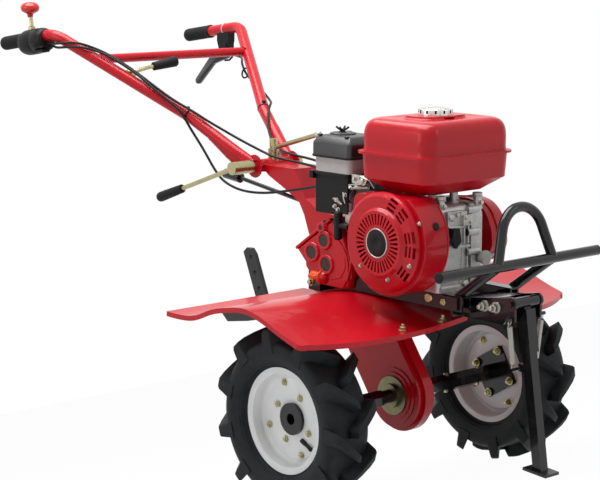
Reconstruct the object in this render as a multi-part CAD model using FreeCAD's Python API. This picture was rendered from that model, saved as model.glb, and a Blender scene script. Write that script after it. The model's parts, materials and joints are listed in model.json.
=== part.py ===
"""Garden tiller: a two-wheeled walking tractor with a single-cylinder engine.

Everything is first laid out in the machine's own level axes, in millimetres:
origin at the centre of the wheel axle, +X forward, +Y to the left, +Z up.
The machine parks nose down, on its two wheels and its front stand, so every
finished solid is then turned about the axle and lifted onto the ground.
"""
import FreeCAD
import Part
import math
import os

V = FreeCAD.Vector
X_AXIS = V(1, 0, 0)
Y_AXIS = V(0, 1, 0)
Z_AXIS = V(0, 0, 1)

# ---------------------------------------------------------------- wheels
TRACK = 620.0             # between the middles of the two tyres
TYRE_R = 203.0            # over the lugs
TYRE_W = 112.0
TREAD_SHOULDER_W = 92.0
RIM_SEAT_R = 101.6
RIM_LIP_R = 116.0
RIM_W = 70.0
RIM_WALL = 2.5
DISC_Y = 4.0              # middle of the wheel disc, outboard of the tyre's middle
DISC_T = 3.0
DISC_HOLE_R = 17.0
HUB_BOLT_PCD = 106.0
HUB_BOLT_R = 5.25
HUB_BOLTS = 4
HUB_TURN = {-1: 65.0, 1: 76.0}   # degrees from forward to the first hub bolt, each side
HUB_DISC_R = 34.0
HUB_DISC_HOLE_R = 12.0
RIM_BOLT_PCD = 156.0
RIM_BOLT_R = 4.25
SHAFT_R = 15.0            # output shaft through the chain case
SHAFT_END_Y = 200.0
HEX_AF = 34.0             # hexagonal hub tube across its flats
HEX_INNER_Y = 64.0        # where the hub tubes stop, each side of the case
HUB_PLATE = 96.0
HUB_PLATE_T = 6.0
SHAFT_CLEARANCE = 0.3

# ---------------------------------------------------------------- chain case
CASE_Y = 6.0              # seam plane of the two pressed halves
CASE_SEAM_R = 83.0
CASE_SEAM_T = 22.0
CASE_FACE_R = 75.0
CASE_T = 48.0
CASE_STEPS = [(62.0, 3.0), (52.0, 6.0)]   # radius and height of the pressed steps
CASE_LEAN = 35.6          # degrees the case leans backward from upright
CASE_LENGTH = 300.0
BEARING_R = 43.0
BEARING_T = 4.0
BEARING_BOSS_R = 27.0
BEARING_BOSS_T = 12.0

# ---------------------------------------------------------------- gearbox
GEARBOX_W = 200.0
GEARBOX_BASE_Z = 238.0
GEARBOX_OUTLINE = [(-232, 306), (-109, 388), (-84, 352), (-58, 302), (-56, 262),
                   (-64, GEARBOX_BASE_Z), (-160, GEARBOX_BASE_Z), (-190, 266)]
PLUG_SPOTS = [(-176, 306, 19), (-136, 337, 18), (-129, 284, 19), (-145, 364, 9)]
PLUG_T = 3.0
PLUG_RIM = 4.0            # raised rim round each plug
PAD_T = 3.0
PAD = (-129.0, 284.0, 68.0)   # round pad on the right face
FILLER_SPOT = (-176.0, -88.0, 251.5)
BELT_COVER_Y = (100.3, 156.0)

# ---------------------------------------------------------------- engine
CRANK_X = 119.0
CRANK_Z = 373.0
ENGINE_BASE_Z = 267.0
BLOCK_X = (22.0, 204.0)
BLOCK_Y = (-96.0, 40.0)
BLOCK_TOP_Z = 446.0
COVER_Y = (-4.0, 10.0)       # joint flange between the crankcase and its side cover
COVER_RIM = 4.0
RECOIL_R = 104.0
RECOIL_Y = (-192.0, -166.0)
SHROUD_R = 112.0
SHROUD_Y = (-165.7, -96.3)
SHROUD_TOP_Z = 466.0
SHROUD_REAR_X = 22.0
SHROUD_CORNER = 18.0
TANK_X = (-10.0, 216.0)
TANK_Y = (-144.0, 130.0)
TANK_SEAM_Z = 548.0
TANK_TOP_Z = 625.0
TANK_KNEE_Z = 494.0
TANK_BOTTOM_Z = 467.0
TANK_WALL = 2.5
TANK_CORNER = 30.0
CAP_R = 36.0
CAP_H = 13.0
CAP_X = 103.0
CAP_Y = -7.0
CAP_RIBS = 12

FILTER_X = (-161.0, -47.0)
FILTER_Y = (-113.0, -7.0)
FILTER_CASE_Z = (491.0, 522.0)
FILTER_TOP_Z = 570.0
STARTER_SLOTS = 36
STARTER_SLOT_R = (38.0, 61.0)
STARTER_FACE_R = 70.0
STARTER_WALL = 2.5
VENT_RADII = (78.0, 88.0, 98.0)
VENT_ANGLES = (66.0, 44.5, 13.0, -6.0, -39.0)   # degrees up from forward
STARTER_GRIP = (-11.0, -179.0, 393.0)

# ---------------------------------------------------------------- frame
RAIL_Y = 74.0             # middle of each engine rail
RAIL_W = 26.0
RAIL_H = 32.0
RAIL_WALL = 4.0
RAIL_X = (-55.0, 262.0)
BRACKET_X = (206.0, 330.0)
BRACKET_REAR_Z = 252.0
BRACKET_HALF = 42.0
BRACKET_TOP_Z = 270.0
BRACKET_H = 55.0
BRACKET_WALL = 6.0
BUMPER_X = 343.0
BUMPER_Z = 338.0
BUMPER_HALF = 240.0
BUMPER_R = 11.0
ARCH_R = 10.8
ARCH_Y = 14.0             # middle of the arch, off the middle of the cross tube
ARCH_HALF = 84.5          # between the legs' feet, from the arch's middle
ARCH_TOP_HALF = 46.0
ARCH_TOP_X = 325.0
ARCH_TOP_Z = 451.0
ARCH_BEND = 62.0
BRACE_FOOT = (226.0, 254.0)

DRAWBAR_WALL = 8.0
HITCH_PIN = (-508.0, 106.0)
HITCH_PIN_R = 6.2
STAKE_T = 10.0
STAKE_TOP = (-510.0, 261.0)
STAKE_FOOT = (-442.5, 92.0)
STAKE_HALF = 20.5
STAKE_HOLE_R = 5.5
STAKE_PITCH = 39.0

# ---------------------------------------------------------------- mudguards
FENDER_T = 2.5
FENDER_OUT_Y = 406.0
FENDER_LIP = 11.0
FENDER_REAR_X = (-300.0, -312.0)   # rear edge at the chain case and at the outer edge
FENDER_FRONT = [(214.0, 30.0), (188.0, 235.0), (124.0, 390.0)]   # front edge in plan
FENDER_CORNER = (104.0, 406.0)
# x, height of the outer line over the tyre's top, depth of the inner line under the gearbox
FENDER_STATIONS = [(-325, -9, 44), (-260, -10, 42), (-215, -4, 40), (-160, 17, 24), (-110, 29, 13),
                   (-55, 36, 8), (0, 26, 8), (60, 4, 10), (130, -17, 16), (225, -38, 26)]

# ---------------------------------------------------------------- stand
STAND_PIVOT_X = 355.0
STAND_PIVOT_Z = 260.0
STAND_PIN_R = 6.0
STAND_TUBE_R = 12.0
SPRING_TOP = (358.0, 50.0, 230.0)
SPRING_LOW = (357.0, 34.0, 124.0)
SPRING_R = 6.0
SPRING_PEG_R = 4.0
STAND_FOOT_X = 407.0
STAND_FOOT_Z = -88.0
STAND_TUBE = 22.0
STAND_SLEEVE = 28.0
FOOT_L = 62.0
FOOT_W = 42.0
FOOT_T = 6.0
FOOT_SLOPE = 4.0          # degrees the plate falls towards its front edge

# ---------------------------------------------------------------- handlebar
PIVOT_X = -425.0
PIVOT_Z = 470.0
PIVOT_R = 8.0             # clamp bolt through the column's head
HEAD_TUBE_R = 15.0
HEAD_HALF = 52.0
COLUMN_HALF = 45.0
COLUMN_WALL = 4.0
ARM_R = 14.0
ARM_WALL = 2.5
ARM_ROOT_Y = 62.0
ARM_EYE_R = 24.0
ARM_EYE_T = 12.0
ARM_KNEE = (-593.0, 115.0, 577.0)
ARM_CREST = (-890.0, 289.0, 764.0)
ARM_END = (-1115.0, 289.0, 731.5)
CROSSBAR_AT = 0.69        # share of the run from knee to crest
CROSSBAR_R = 11.0
GRIP_R = 17.0
GRIP_L = {-1: 78.0, 1: 110.0}
THROTTLE_BOX_X = (-1037.0, -921.7)
THROTTLE_BOX_R = 31.0
THROTTLE_BOX_DROP = 9.0
CLUTCH_PIVOT = (-940.0, 711.0)
CLUTCH_TIP = (-1070.0, 608.0)
CLUTCH_LEVER_Y = (282.0, 296.0)
CLAMP_LEVER_Y = 122.0
HEAD_POST_Z = 530.0
CLAMP_GRIP = [(-614.0, -124.0, 404.0), (-700.0, -126.0, 374.0)]
POST_GRIP = [(-272.0, 0.0, 551.5), (-196.0, 0.0, 573.0)]

# ---------------------------------------------------------------- cables
CABLE_R = 3.0
THROTTLE_ROUTE = [(-919.5, -294, 740), (-885, -298, 741), (-858, -297, 744), (-827, -271, 747),
                  (-800, -235, 732), (-770, -213, 715.5), (-739, -193, 694.5), (-705, -175, 671),
                  (-660, -162, 643.5), (-617, -144, 615), (-573, -118, 589), (-545, -104, 571),
                  (-520, -84, 553), (-474, -60, 527), (-421, -38, 503), (-385, -34, 493),
                  (-315, -26, 487), (-245, -32, 484), (-160.8, -58, 482)]
STOP_ROUTE = [(-916.8, -279.5, 737), (-885, -292, 732), (-854, -293, 734), (-822, -274, 737),
              (-796, -244, 730), (-765, -222.5, 715), (-734, -202, 694.5), (-700.5, -183, 671),
              (-658, -169.5, 640), (-617, -151, 609), (-592, -139, 586), (-578, -128, 554),
              (-563, -119, 528), (-539, -114, 498), (-511, -110, 461), (-489, -104, 436),
              (-457, -97, 421), (-418, -88, 413.5), (-364, -80, 415), (-302, -72, 425.5),
              (-240, -68, 438), (-195, -70, 448), (-160.3, -74, 455)]
CLUTCH_ROUTE = [(-934.4, 289, 690), (-885, 286, 686), (-830, 246, 684), (-790, 210, 676),
                (-748, 190, 650), (-700, 192, 622), (-650, 177, 601), (-614, 157, 592),
                (-586, 132, 595), (-560, 102, 582), (-541, 81, 558), (-520, 68, 531),
                (-493, 58, 507), (-452, 48, 495), (-402, 41, 490), (-345, 38, 488),
                (-300, 52, 478), (-262, 82, 448), (-230, 96, 404)]

FIT = 0.3                 # gap between seated pieces


def box(x, y, z):
    """Box from three (low, high) pairs."""
    return Part.makeBox(x[1] - x[0], y[1] - y[0], z[1] - z[0], V(x[0], y[0], z[0]))


def rod(start, end, radius):
    """Round bar between two points."""
    a, b = V(*start), V(*end)
    return Part.makeCylinder(radius, a.distanceToPoint(b), a, b - a)


def side_plate(outline, y0, y1):
    """Outline of (x, z) points, extruded across the machine from y0 to y1."""
    points = [V(x, y0, z) for x, z in outline]
    return Part.Face(Part.makePolygon(points + points[:1])).extrude(V(0, y1 - y0, 0))


def turned(profile, centre=(0, 0, 0)):
    """Profile of (radius, y) points, revolved about the cross-machine axis."""
    points = [V(r, y, 0) for r, y in profile]
    face = Part.Face(Part.makePolygon(points + points[:1]))
    solid = face.revolve(V(0, 0, 0), Y_AXIS, 360)
    solid.translate(V(*centre))
    return solid


def bent_path(points, radius):
    """Straight runs through the points, joined by tangent arcs."""
    knots = [V(*p) for p in points]
    edges = []
    last = knots[0]
    for before, corner, after in zip(knots, knots[1:], knots[2:]):
        back = (before - corner).normalize()
        ahead = (after - corner).normalize()
        half = (math.pi - back.getAngle(ahead)) / 2
        reach = radius * math.tan(half)
        start = corner + back * reach
        end = corner + ahead * reach
        middle = (back + ahead).normalize()
        top = corner + middle * (radius / math.cos(half) - radius)
        if last.distanceToPoint(start) > 1e-3:
            edges.append(Part.LineSegment(last, start).toShape())
        edges.append(Part.Arc(start, top, end).toShape())
        last = end
    edges.append(Part.LineSegment(last, knots[-1]).toShape())
    return Part.Wire(edges)


def swept(path, radius):
    """Round section carried along a wire."""
    first = path.Edges[0]
    start = first.valueAt(first.FirstParameter)
    direction = first.tangentAt(first.FirstParameter)
    ring = Part.Wire(Part.makeCircle(radius, start, direction))
    return path.makePipeShell([ring], True, True)


def tube(points, radius, wall, bend):
    """Bent round tube with an open bore."""
    path = bent_path(points, bend)
    return swept(path, radius).cut(swept(path, radius - wall))


def mirrored(solid):
    """The same piece on the other side of the machine."""
    return solid.mirror(V(0, 0, 0), Y_AXIS)


def round_edges(solid, radius, keep):
    """Round the edges that the given test picks."""
    return solid.makeFillet(radius, [e for e in solid.Edges if keep(e)])


def runs_along(edge, direction):
    """True for a straight edge along a direction."""
    if edge.Curve.TypeId != "Part::GeomLine":
        return False
    return abs(abs(edge.Curve.Direction.dot(direction)) - 1) < 1e-6


# ================================================================ wheels
def make_tyre(side):
    """Tyre envelope over its lugs, with beads on the rim."""
    half, shoulder = TYRE_W / 2, TREAD_SHOULDER_W / 2
    bead_r, bead_y = RIM_SEAT_R + FIT, RIM_W / 2 - RIM_WALL - FIT
    profile = [(bead_r, -bead_y), (RIM_LIP_R + FIT, -bead_y), (150, -half),
               (182, -shoulder - 4), (TYRE_R - 4, -shoulder), (TYRE_R, 0),
               (TYRE_R - 4, shoulder), (182, shoulder + 4), (150, half),
               (RIM_LIP_R + FIT, bead_y), (bead_r, bead_y),
               (RIM_SEAT_R + 12, bead_y - 12), (RIM_SEAT_R + 12, -bead_y + 12)]
    return turned(profile, (0, side * TRACK / 2, 0))


def bolt_circle(pcd, count, first):
    """Places (x, z) on a bolt circle about the axle, from the first bolt's angle in degrees."""
    angles = [math.radians(first + 360 / count * k) for k in range(count)]
    return [(pcd / 2 * math.cos(a), pcd / 2 * math.sin(a)) for a in angles]


def make_rim(side):
    """Pressed wheel: two flanged halves and the dished disc between them."""
    half = RIM_W / 2
    seat = RIM_SEAT_R
    profile = [(seat - RIM_WALL, -half + RIM_WALL), (seat - RIM_WALL, half - RIM_WALL),
               (seat, half), (RIM_LIP_R - 3, half), (RIM_LIP_R, half - 2),
               (RIM_LIP_R, half - RIM_WALL), (seat, half - RIM_WALL),
               (seat, -half + RIM_WALL), (RIM_LIP_R, -half + RIM_WALL),
               (RIM_LIP_R, -half + 2), (RIM_LIP_R - 3, -half), (seat, -half)]
    ring = turned(profile)
    low, high = DISC_Y - DISC_T / 2, DISC_Y + DISC_T / 2
    disc = turned([(DISC_HOLE_R, low), (DISC_HOLE_R, high), (86, high), (92, high + 5),
                   (seat - 1, high + 5), (seat - 1, low + 5), (93, low + 5), (87, low)])
    holes = []
    for pcd, radius, turn in ((HUB_BOLT_PCD, HUB_BOLT_R, 0), (RIM_BOLT_PCD, RIM_BOLT_R, 45)):
        for x, z in bolt_circle(pcd, HUB_BOLTS, HUB_TURN[side] + turn):
            holes.append(rod((x, -50, z), (x, 50, z), radius))
    wheel = ring.fuse(disc)
    if side < 0:
        wheel = mirrored(wheel)
    wheel = wheel.cut(holes)
    wheel.translate(V(0, side * TRACK / 2, 0))
    return wheel


def make_hub(side):
    """Hexagonal hub tube with its square bolting plate and outer disc."""
    disc_in = TRACK / 2 + DISC_Y - DISC_T / 2
    disc_out = disc_in + DISC_T
    across = HEX_AF / math.sqrt(3)
    corners = [(across * math.cos(math.radians(60 * k)), across * math.sin(math.radians(60 * k)))
               for k in range(6)]
    barrel = side_plate(corners, HEX_INNER_Y, disc_in - FIT)
    plate = box((-HUB_PLATE / 2, HUB_PLATE / 2), (disc_in - FIT - HUB_PLATE_T, disc_in - FIT),
                (-HUB_PLATE / 2, HUB_PLATE / 2))
    plate = round_edges(plate, 6, lambda e: runs_along(e, Y_AXIS))
    spigot = rod((0, disc_in - FIT, 0), (0, disc_out + FIT, 0), DISC_HOLE_R - FIT)
    disc = rod((0, disc_out + FIT, 0), (0, disc_out + 8, 0), HUB_DISC_R)
    hub = barrel.fuse([plate, spigot])
    hub.rotate(V(0, 0, 0), Y_AXIS, 45 - HUB_TURN[side])
    hub = hub.cut(rod((0, 0, 0), (0, TRACK, 0), SHAFT_R + SHAFT_CLEARANCE))
    hub = hub.fuse(disc).cut(rod((0, 0, 0), (0, TRACK, 0), HUB_DISC_HOLE_R))
    holes = [rod((x, 0, z), (x, TRACK, z), HUB_BOLT_R)
             for x, z in bolt_circle(HUB_BOLT_PCD, HUB_BOLTS, HUB_TURN[side])]
    hub = hub.cut(holes)
    return hub if side > 0 else mirrored(hub)


def make_axle_shaft():
    """Output shaft, carried in the chain case and pinned into both hubs."""
    return rod((0, -SHAFT_END_Y, 0), (0, SHAFT_END_Y, 0), SHAFT_R)


# ================================================================ drive
def case_point(along, across):
    """Point in the chain case's plane, measured along its leaning centre line."""
    a = math.radians(CASE_LEAN)
    return (-along * math.sin(a) + across * math.cos(a),
            along * math.cos(a) + across * math.sin(a))


def make_gearbox_case():
    """Upper gearbox housing with a curved front flank."""
    case = side_plate(GEARBOX_OUTLINE, -GEARBOX_W / 2, GEARBOX_W / 2)
    case = round_edges(case, 6, lambda e: not runs_along(e, Y_AXIS))
    face = -GEARBOX_W / 2
    pads = [rod((x, face + 4, z), (x, face - PAD_T, z), r)
            for x, z, r in [PAD] + [(x, z, r + PLUG_RIM) for x, z, r in PLUG_SPOTS]]
    limits = side_plate(GEARBOX_OUTLINE, face - 9, face + 9)
    return case.fuse([pad.common(limits) for pad in pads]).removeSplitter()


def case_stadium(radius, thickness):
    """Straight-sided plate with a round lower end, about the axle."""
    y0, y1 = CASE_Y - thickness / 2, CASE_Y + thickness / 2
    strip = side_plate([case_point(0, radius), case_point(CASE_LENGTH, radius),
                        case_point(CASE_LENGTH, -radius), case_point(0, -radius)], y0, y1)
    return strip.fuse(rod((0, y0, 0), (0, y1, 0), radius)).removeSplitter()


def make_chain_case():
    """Leaning chain case between the gearbox and the axle, in two pressed halves."""
    case = case_stadium(CASE_SEAM_R, CASE_SEAM_T).fuse(case_stadium(CASE_FACE_R, CASE_T))
    for radius, height in CASE_STEPS:
        half = CASE_T / 2 + height
        case = case.fuse(rod((0, CASE_Y - half, 0), (0, CASE_Y + half, 0), radius))
    case = case.removeSplitter()
    above = box((-600, 400), (-200, 200), (GEARBOX_BASE_Z - FIT, 900))
    return case.cut([above, rod((0, -100, 0), (0, 100, 0), SHAFT_R + SHAFT_CLEARANCE)])


def make_bearing_flanges():
    """Bearing retainers on both faces of the chain case."""
    flanges = []
    face = CASE_T / 2 + CASE_STEPS[-1][1]
    bore = rod((0, -200, 0), (0, 200, 0), SHAFT_R + SHAFT_CLEARANCE)
    for side in (-1, 1):
        near = CASE_Y + side * face
        disc = rod((0, near, 0), (0, near + side * BEARING_T, 0), BEARING_R)
        boss = rod((0, near, 0), (0, near + side * BEARING_BOSS_T, 0), BEARING_BOSS_R)
        flanges.append(disc.fuse(boss).cut(bore))
    return Part.makeCompound(flanges)


def make_gearbox_plugs():
    """Pressed plugs over the shaft bores, on the right face of the gearbox."""
    face = -GEARBOX_W / 2 - PAD_T
    return Part.makeCompound([rod((x, face, z), (x, face - PLUG_T, z), r)
                              for x, z, r in PLUG_SPOTS])


def make_oil_filler_plug():
    """Moulded filler plug with a grip, on the gearbox's lower rear."""
    (x0, z0), (x1, z1) = GEARBOX_OUTLINE[-2], GEARBOX_OUTLINE[-1]
    x, y, z = FILLER_SPOT
    edge = x0 + (x1 - x0) * (z - z0) / (z1 - z0)
    neck = rod((edge + 24, y, z), (edge - 16, y, z), 11)
    flange = rod((edge - 16, y, z), (edge - 19, y, z), 15)
    grip = rod((edge - 19, y, z), (edge - 33, y, z), 12)
    case = side_plate(GEARBOX_OUTLINE, -GEARBOX_W / 2, GEARBOX_W / 2)
    case.translate(V(-FIT, 0, -FIT))
    return neck.fuse([flange, grip]).cut(case)


def make_belt_cover():
    """Red cover over the belts, on the left side."""
    outline = [(172, 346), (168, 372), (152, 408), (130, 428), (98, 437), (-60, 422),
               (-178, 366), (-216, 306), (-180, 258), (-60, 247), (120, 296), (160, 322)]
    y0, y1 = BELT_COVER_Y
    cover = side_plate(outline, y0, y1)
    return round_edges(cover, 10, lambda e: e.BoundBox.YMin > y1 - 1)


# ================================================================ engine
def make_engine_block():
    """Crankcase with its side cover flange, feet, tank posts and crankshaft end."""
    x0, x1 = BLOCK_X
    y0, y1 = BLOCK_Y
    top = BLOCK_TOP_Z
    case = box((x0, x1), (y0, COVER_Y[0]), (ENGINE_BASE_Z, top))
    case = round_edges(case, 14, lambda e: runs_along(e, Y_AXIS) and e.BoundBox.ZMin > top - 1)
    case = round_edges(case, 10, lambda e: runs_along(e, Z_AXIS))
    flange = box((x0 + 1, x1 + COVER_RIM), COVER_Y, (ENGINE_BASE_Z, top + 3))
    flange = round_edges(flange, 20, lambda e: runs_along(e, Y_AXIS) and e.BoundBox.ZMin > top)
    cover = box((x0 + 6, x1 - 3), (COVER_Y[1], y1), (ENGINE_BASE_Z + 6, top - 5))
    cover = round_edges(cover, 24, lambda e: runs_along(e, Y_AXIS))
    cover = round_edges(cover, 6, lambda e: e.BoundBox.YMin > y1 - 1)
    pieces = [flange, cover]
    for x, z in [(x1 + COVER_RIM - 3, top - 12), (x1 + COVER_RIM - 2, 387), (x1 + COVER_RIM - 2, 345),
                 (x1 - 60, top), (x0 + 30, top), (x1 - 20, ENGINE_BASE_Z + 12)]:
        pieces.append(rod((x, COVER_Y[0] - 12, z), (x, COVER_Y[1] + 6, z), 8))
    foot = box((x0 + 6, x1 + 4), (y0 + 4, COVER_Y[1]), (ENGINE_BASE_Z, ENGINE_BASE_Z + 14))
    pieces.append(round_edges(foot, 6, lambda e: e.BoundBox.ZMin > ENGINE_BASE_Z + 13))
    for x in (x0 + 30, x1 - 42):
        for y in (y0 + 22, COVER_Y[0] - 6):
            pieces.append(rod((x, y, top - 2), (x, y, TANK_BOTTOM_Z - FIT), 9))
    pieces.append(rod((x1 - 6, COVER_Y[1] + 16, 331), (x1 + 14, COVER_Y[1] + 16, 331), 12))
    pieces.append(rod((CRANK_X, y1 - 4, CRANK_Z), (CRANK_X, BELT_COVER_Y[0] - FIT, CRANK_Z), 12))
    return case.fuse(pieces)


def make_cylinder_head():
    """Finned cylinder and head, leaning back from the crankcase."""
    head = box((-88, 21.7), (-62, 58), (336, 404))
    for k in range(5):
        x = -74 + 18 * k
        head = head.cut(box((x, x + 8), (-70, 66), (396, 410)))
        head = head.cut(box((x, x + 8), (-70, 66), (330, 344)))
    cover = box((-100, -88), (-48, 44), (344, 396))
    head = head.fuse(cover).removeSplitter()
    upper = side_plate(GEARBOX_OUTLINE, -GEARBOX_W / 2 - 5, GEARBOX_W / 2 + 5)
    upper.translate(V(5, 0, 5))
    return head.cut(upper)


def make_fan_shroud():
    """Cooling shroud between the recoil starter and the block."""
    y0, y1 = SHROUD_Y
    ring = rod((CRANK_X, y0, CRANK_Z), (CRANK_X, y1, CRANK_Z), SHROUD_R)
    duct = box((SHROUD_REAR_X, CRANK_X + 30), (y0, y1), (CRANK_Z - 20, SHROUD_TOP_Z))
    duct = round_edges(duct, SHROUD_CORNER, lambda e: runs_along(e, Y_AXIS) and
                       e.BoundBox.XMax < SHROUD_REAR_X + 1 and e.BoundBox.ZMin > SHROUD_TOP_Z - 1)
    beyond = [box((-50, 300), (y0 - 1, y1 + 1), (SHROUD_TOP_Z, 600)),
              box((-50, SHROUD_REAR_X), (y0 - 1, y1 + 1), (200, 600))]
    return ring.fuse(duct).cut(beyond).removeSplitter()


def make_starter_cover():
    """Recoil starter cover: a pressed dish with a ring of radial slots and groups of outer vents."""
    y0, y1 = RECOIL_Y
    wall = STARTER_WALL
    rise = y0 + 5
    outer = [(0, y0), (STARTER_FACE_R - 3, y0), (STARTER_FACE_R, y0 + 3), (STARTER_FACE_R + 3, rise + 2),
             (RECOIL_R - 8, rise + 3), (RECOIL_R - 2, rise + 7), (RECOIL_R, rise + 13), (RECOIL_R, y1)]
    inner = [(RECOIL_R - wall, y1), (RECOIL_R - wall, rise + 14), (RECOIL_R - 5, rise + 9),
             (RECOIL_R - 9, rise + 3 + wall), (STARTER_FACE_R + 1, rise + 2 + wall),
             (STARTER_FACE_R - 4, y0 + wall + 1), (34, y0 + wall + 1), (31, y0 + 12), (0, y0 + 12)]
    cover = turned(outer + inner, (CRANK_X, 0, CRANK_Z))
    cuts = [box((CRANK_X - 2 * RECOIL_R, SHROUD_REAR_X), (y0 - 1, y1 + 1), (200, 600))]
    r0, r1 = STARTER_SLOT_R
    for k in range(STARTER_SLOTS):
        slot = side_plate([(r0, -1.5), (r1, -2.6), (r1, 2.6), (r0, 1.5)], y0 - 2, y0 + 6)
        slot.rotate(V(0, 0, 0), Y_AXIS, 360 / STARTER_SLOTS * (k + 0.5))
        slot.translate(V(CRANK_X, 0, CRANK_Z))
        cuts.append(slot)
    for angle in VENT_ANGLES:
        for radius in VENT_RADII:
            vent = box((radius - 2.75, radius + 2.75), (rise - 4, rise + 12), (-11.5, 11.5))
            vent.rotate(V(0, 0, 0), Y_AXIS, -angle)
            vent.translate(V(CRANK_X, 0, CRANK_Z))
            cuts.append(vent)
    return cover.cut(cuts)


def make_starter_grip():
    """Pull grip of the starter cord, resting in its guide on the shroud's rear edge."""
    x, y, z = STARTER_GRIP
    grip = box((x - 8, x + 8), (y - 9, y + 9), (z - 31, z + 31))
    grip = round_edges(grip, 6, lambda e: True)
    return grip.fuse(rod((x, y, z), (SHROUD_REAR_X - FIT, y, z), 7))


def rounded_outline(x, y, z, inset, corner):
    """Rounded rectangle at a height, drawn in from the (low, high) pairs by an inset."""
    plate = box((x[0] + inset, x[1] - inset), (y[0] + inset, y[1] - inset), (z, z + 1))
    plate = round_edges(plate, corner, lambda e: runs_along(e, Z_AXIS))
    return min(plate.Faces, key=lambda face: face.CenterOfMass.z).OuterWire


def tank_shape(shrink):
    """Upper and lower pressings of the tank, drawn in by a wall on every side."""
    top, bottom = TANK_TOP_Z - shrink, TANK_BOTTOM_Z + shrink
    corner = TANK_CORNER - shrink
    upper = [(TANK_SEAM_Z, 7), (top - 26, 12), (top - 14, 17), (top - 5, 34), (top, 72)]
    lower = [(TANK_SEAM_Z, 8), (TANK_KNEE_Z, 11), (bottom, 46)]
    shells = []
    for levels, ruled in ((upper, False), (lower, True)):
        wires = [rounded_outline(TANK_X, TANK_Y, z, inset + shrink, corner) for z, inset in levels]
        shells.append(Part.makeLoft(wires, True, ruled))
    return shells[0].fuse(shells[1])


def make_fuel_tank():
    """Two-half pressed tank: domed upper half, tapered pan and a seam flange."""
    seam = box(TANK_X, TANK_Y, (TANK_SEAM_Z - 2.5, TANK_SEAM_Z + 2.5))
    seam = round_edges(seam, TANK_CORNER + 6, lambda e: runs_along(e, Z_AXIS))
    neck = rod((CAP_X, CAP_Y, TANK_TOP_Z - 8), (CAP_X, CAP_Y, TANK_TOP_Z + 5), CAP_R - 7)
    return tank_shape(0).fuse([seam, neck]).cut(tank_shape(TANK_WALL))


def make_fuel_cap():
    """Screw cap of the tank, with a ribbed rim."""
    low, high = TANK_TOP_Z + FIT, TANK_TOP_Z + CAP_H
    cap = rod((CAP_X, CAP_Y, low), (CAP_X, CAP_Y, high), CAP_R)
    cap = round_edges(cap, 2.5, lambda e: abs(e.BoundBox.ZMin - high) < 1e-3)
    cap = cap.cut(rod((CAP_X, CAP_Y, low - 1), (CAP_X, CAP_Y, TANK_TOP_Z + 5 + FIT), CAP_R - 7 + FIT))
    notches = []
    for k in range(CAP_RIBS):
        a = 2 * math.pi * k / CAP_RIBS
        x, y = CAP_X + CAP_R * math.cos(a), CAP_Y + CAP_R * math.sin(a)
        notches.append(rod((x, y, low - 1), (x, y, high - 4), 1.6))
    return cap.cut(notches)


def make_air_filter():
    """Air filter: black base with its elbow, pale case and black lid."""
    x, y = FILTER_X, FILTER_Y
    base = box((x[0] + 1.3, x[1] - 6), (y[0] + 2, y[1]), (470, FILTER_CASE_Z[0] - FIT))
    base = round_edges(base, 6, lambda e: runs_along(e, Z_AXIS))
    elbow = box((x[0] + 1, -100), (y[0] + 2, y[0] + 42), (400, 478))
    elbow = round_edges(elbow, 5, lambda e: runs_along(e, Z_AXIS))
    shield = box((-110, x[1] - 8), (y[0] + 2, y[0] + 5), (404, 478))
    case = box(x, y, FILTER_CASE_Z)
    case = round_edges(case, 12, lambda e: runs_along(e, Z_AXIS))
    lid = box((x[0] - 5, x[1] + 5), (y[0] - 5, y[1] + 5), (FILTER_CASE_Z[1] + FIT, FILTER_TOP_Z))
    lid = round_edges(lid, 14, lambda e: runs_along(e, Z_AXIS))
    lid = round_edges(lid, 11, lambda e: e.BoundBox.ZMin > FILTER_TOP_Z - 1)
    return base.fuse([elbow, shield]).removeSplitter(), case, lid


def make_carburettor():
    """Carburettor between the filter's elbow and the head."""
    barrel = rod((-99.7, -89, 440), (-52, -89, 440), 17)
    bowl = rod((-72, -88, 408), (-72, -88, 440), 19)
    flange = box((-84, -56), (-90, -62.3), (366, 402))
    neck = box((-78, -60), (-90, -66), (392, 430))
    return barrel.fuse([bowl, flange, neck])


def make_muffler():
    """Muffler box above the head on the left side, with its exhaust stub."""
    body = box((-150, -26), (8, 100), (438, 532))
    body = round_edges(body, 16, lambda e: runs_along(e, X_AXIS))
    stub = rod((-64, 44, 404.3), (-64, 44, 440), 15)
    return body.fuse(stub)


# ================================================================ frame
def make_engine_rails():
    """Two channel rails that carry the engine ahead of the gearbox."""
    top = ENGINE_BASE_Z - FIT
    rails = []
    for side in (-1, 1):
        low, high = side * RAIL_Y - RAIL_W / 2, side * RAIL_Y + RAIL_W / 2
        rail = box(RAIL_X, (low, high), (top - RAIL_H, top))
        hollow = box((RAIL_X[0] - 1, RAIL_X[1] + 1), (low + RAIL_WALL, high - RAIL_WALL),
                     (top - RAIL_H - 1, top - RAIL_WALL))
        rails.append(rail.cut(hollow))
    return Part.makeCompound(rails)


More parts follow.
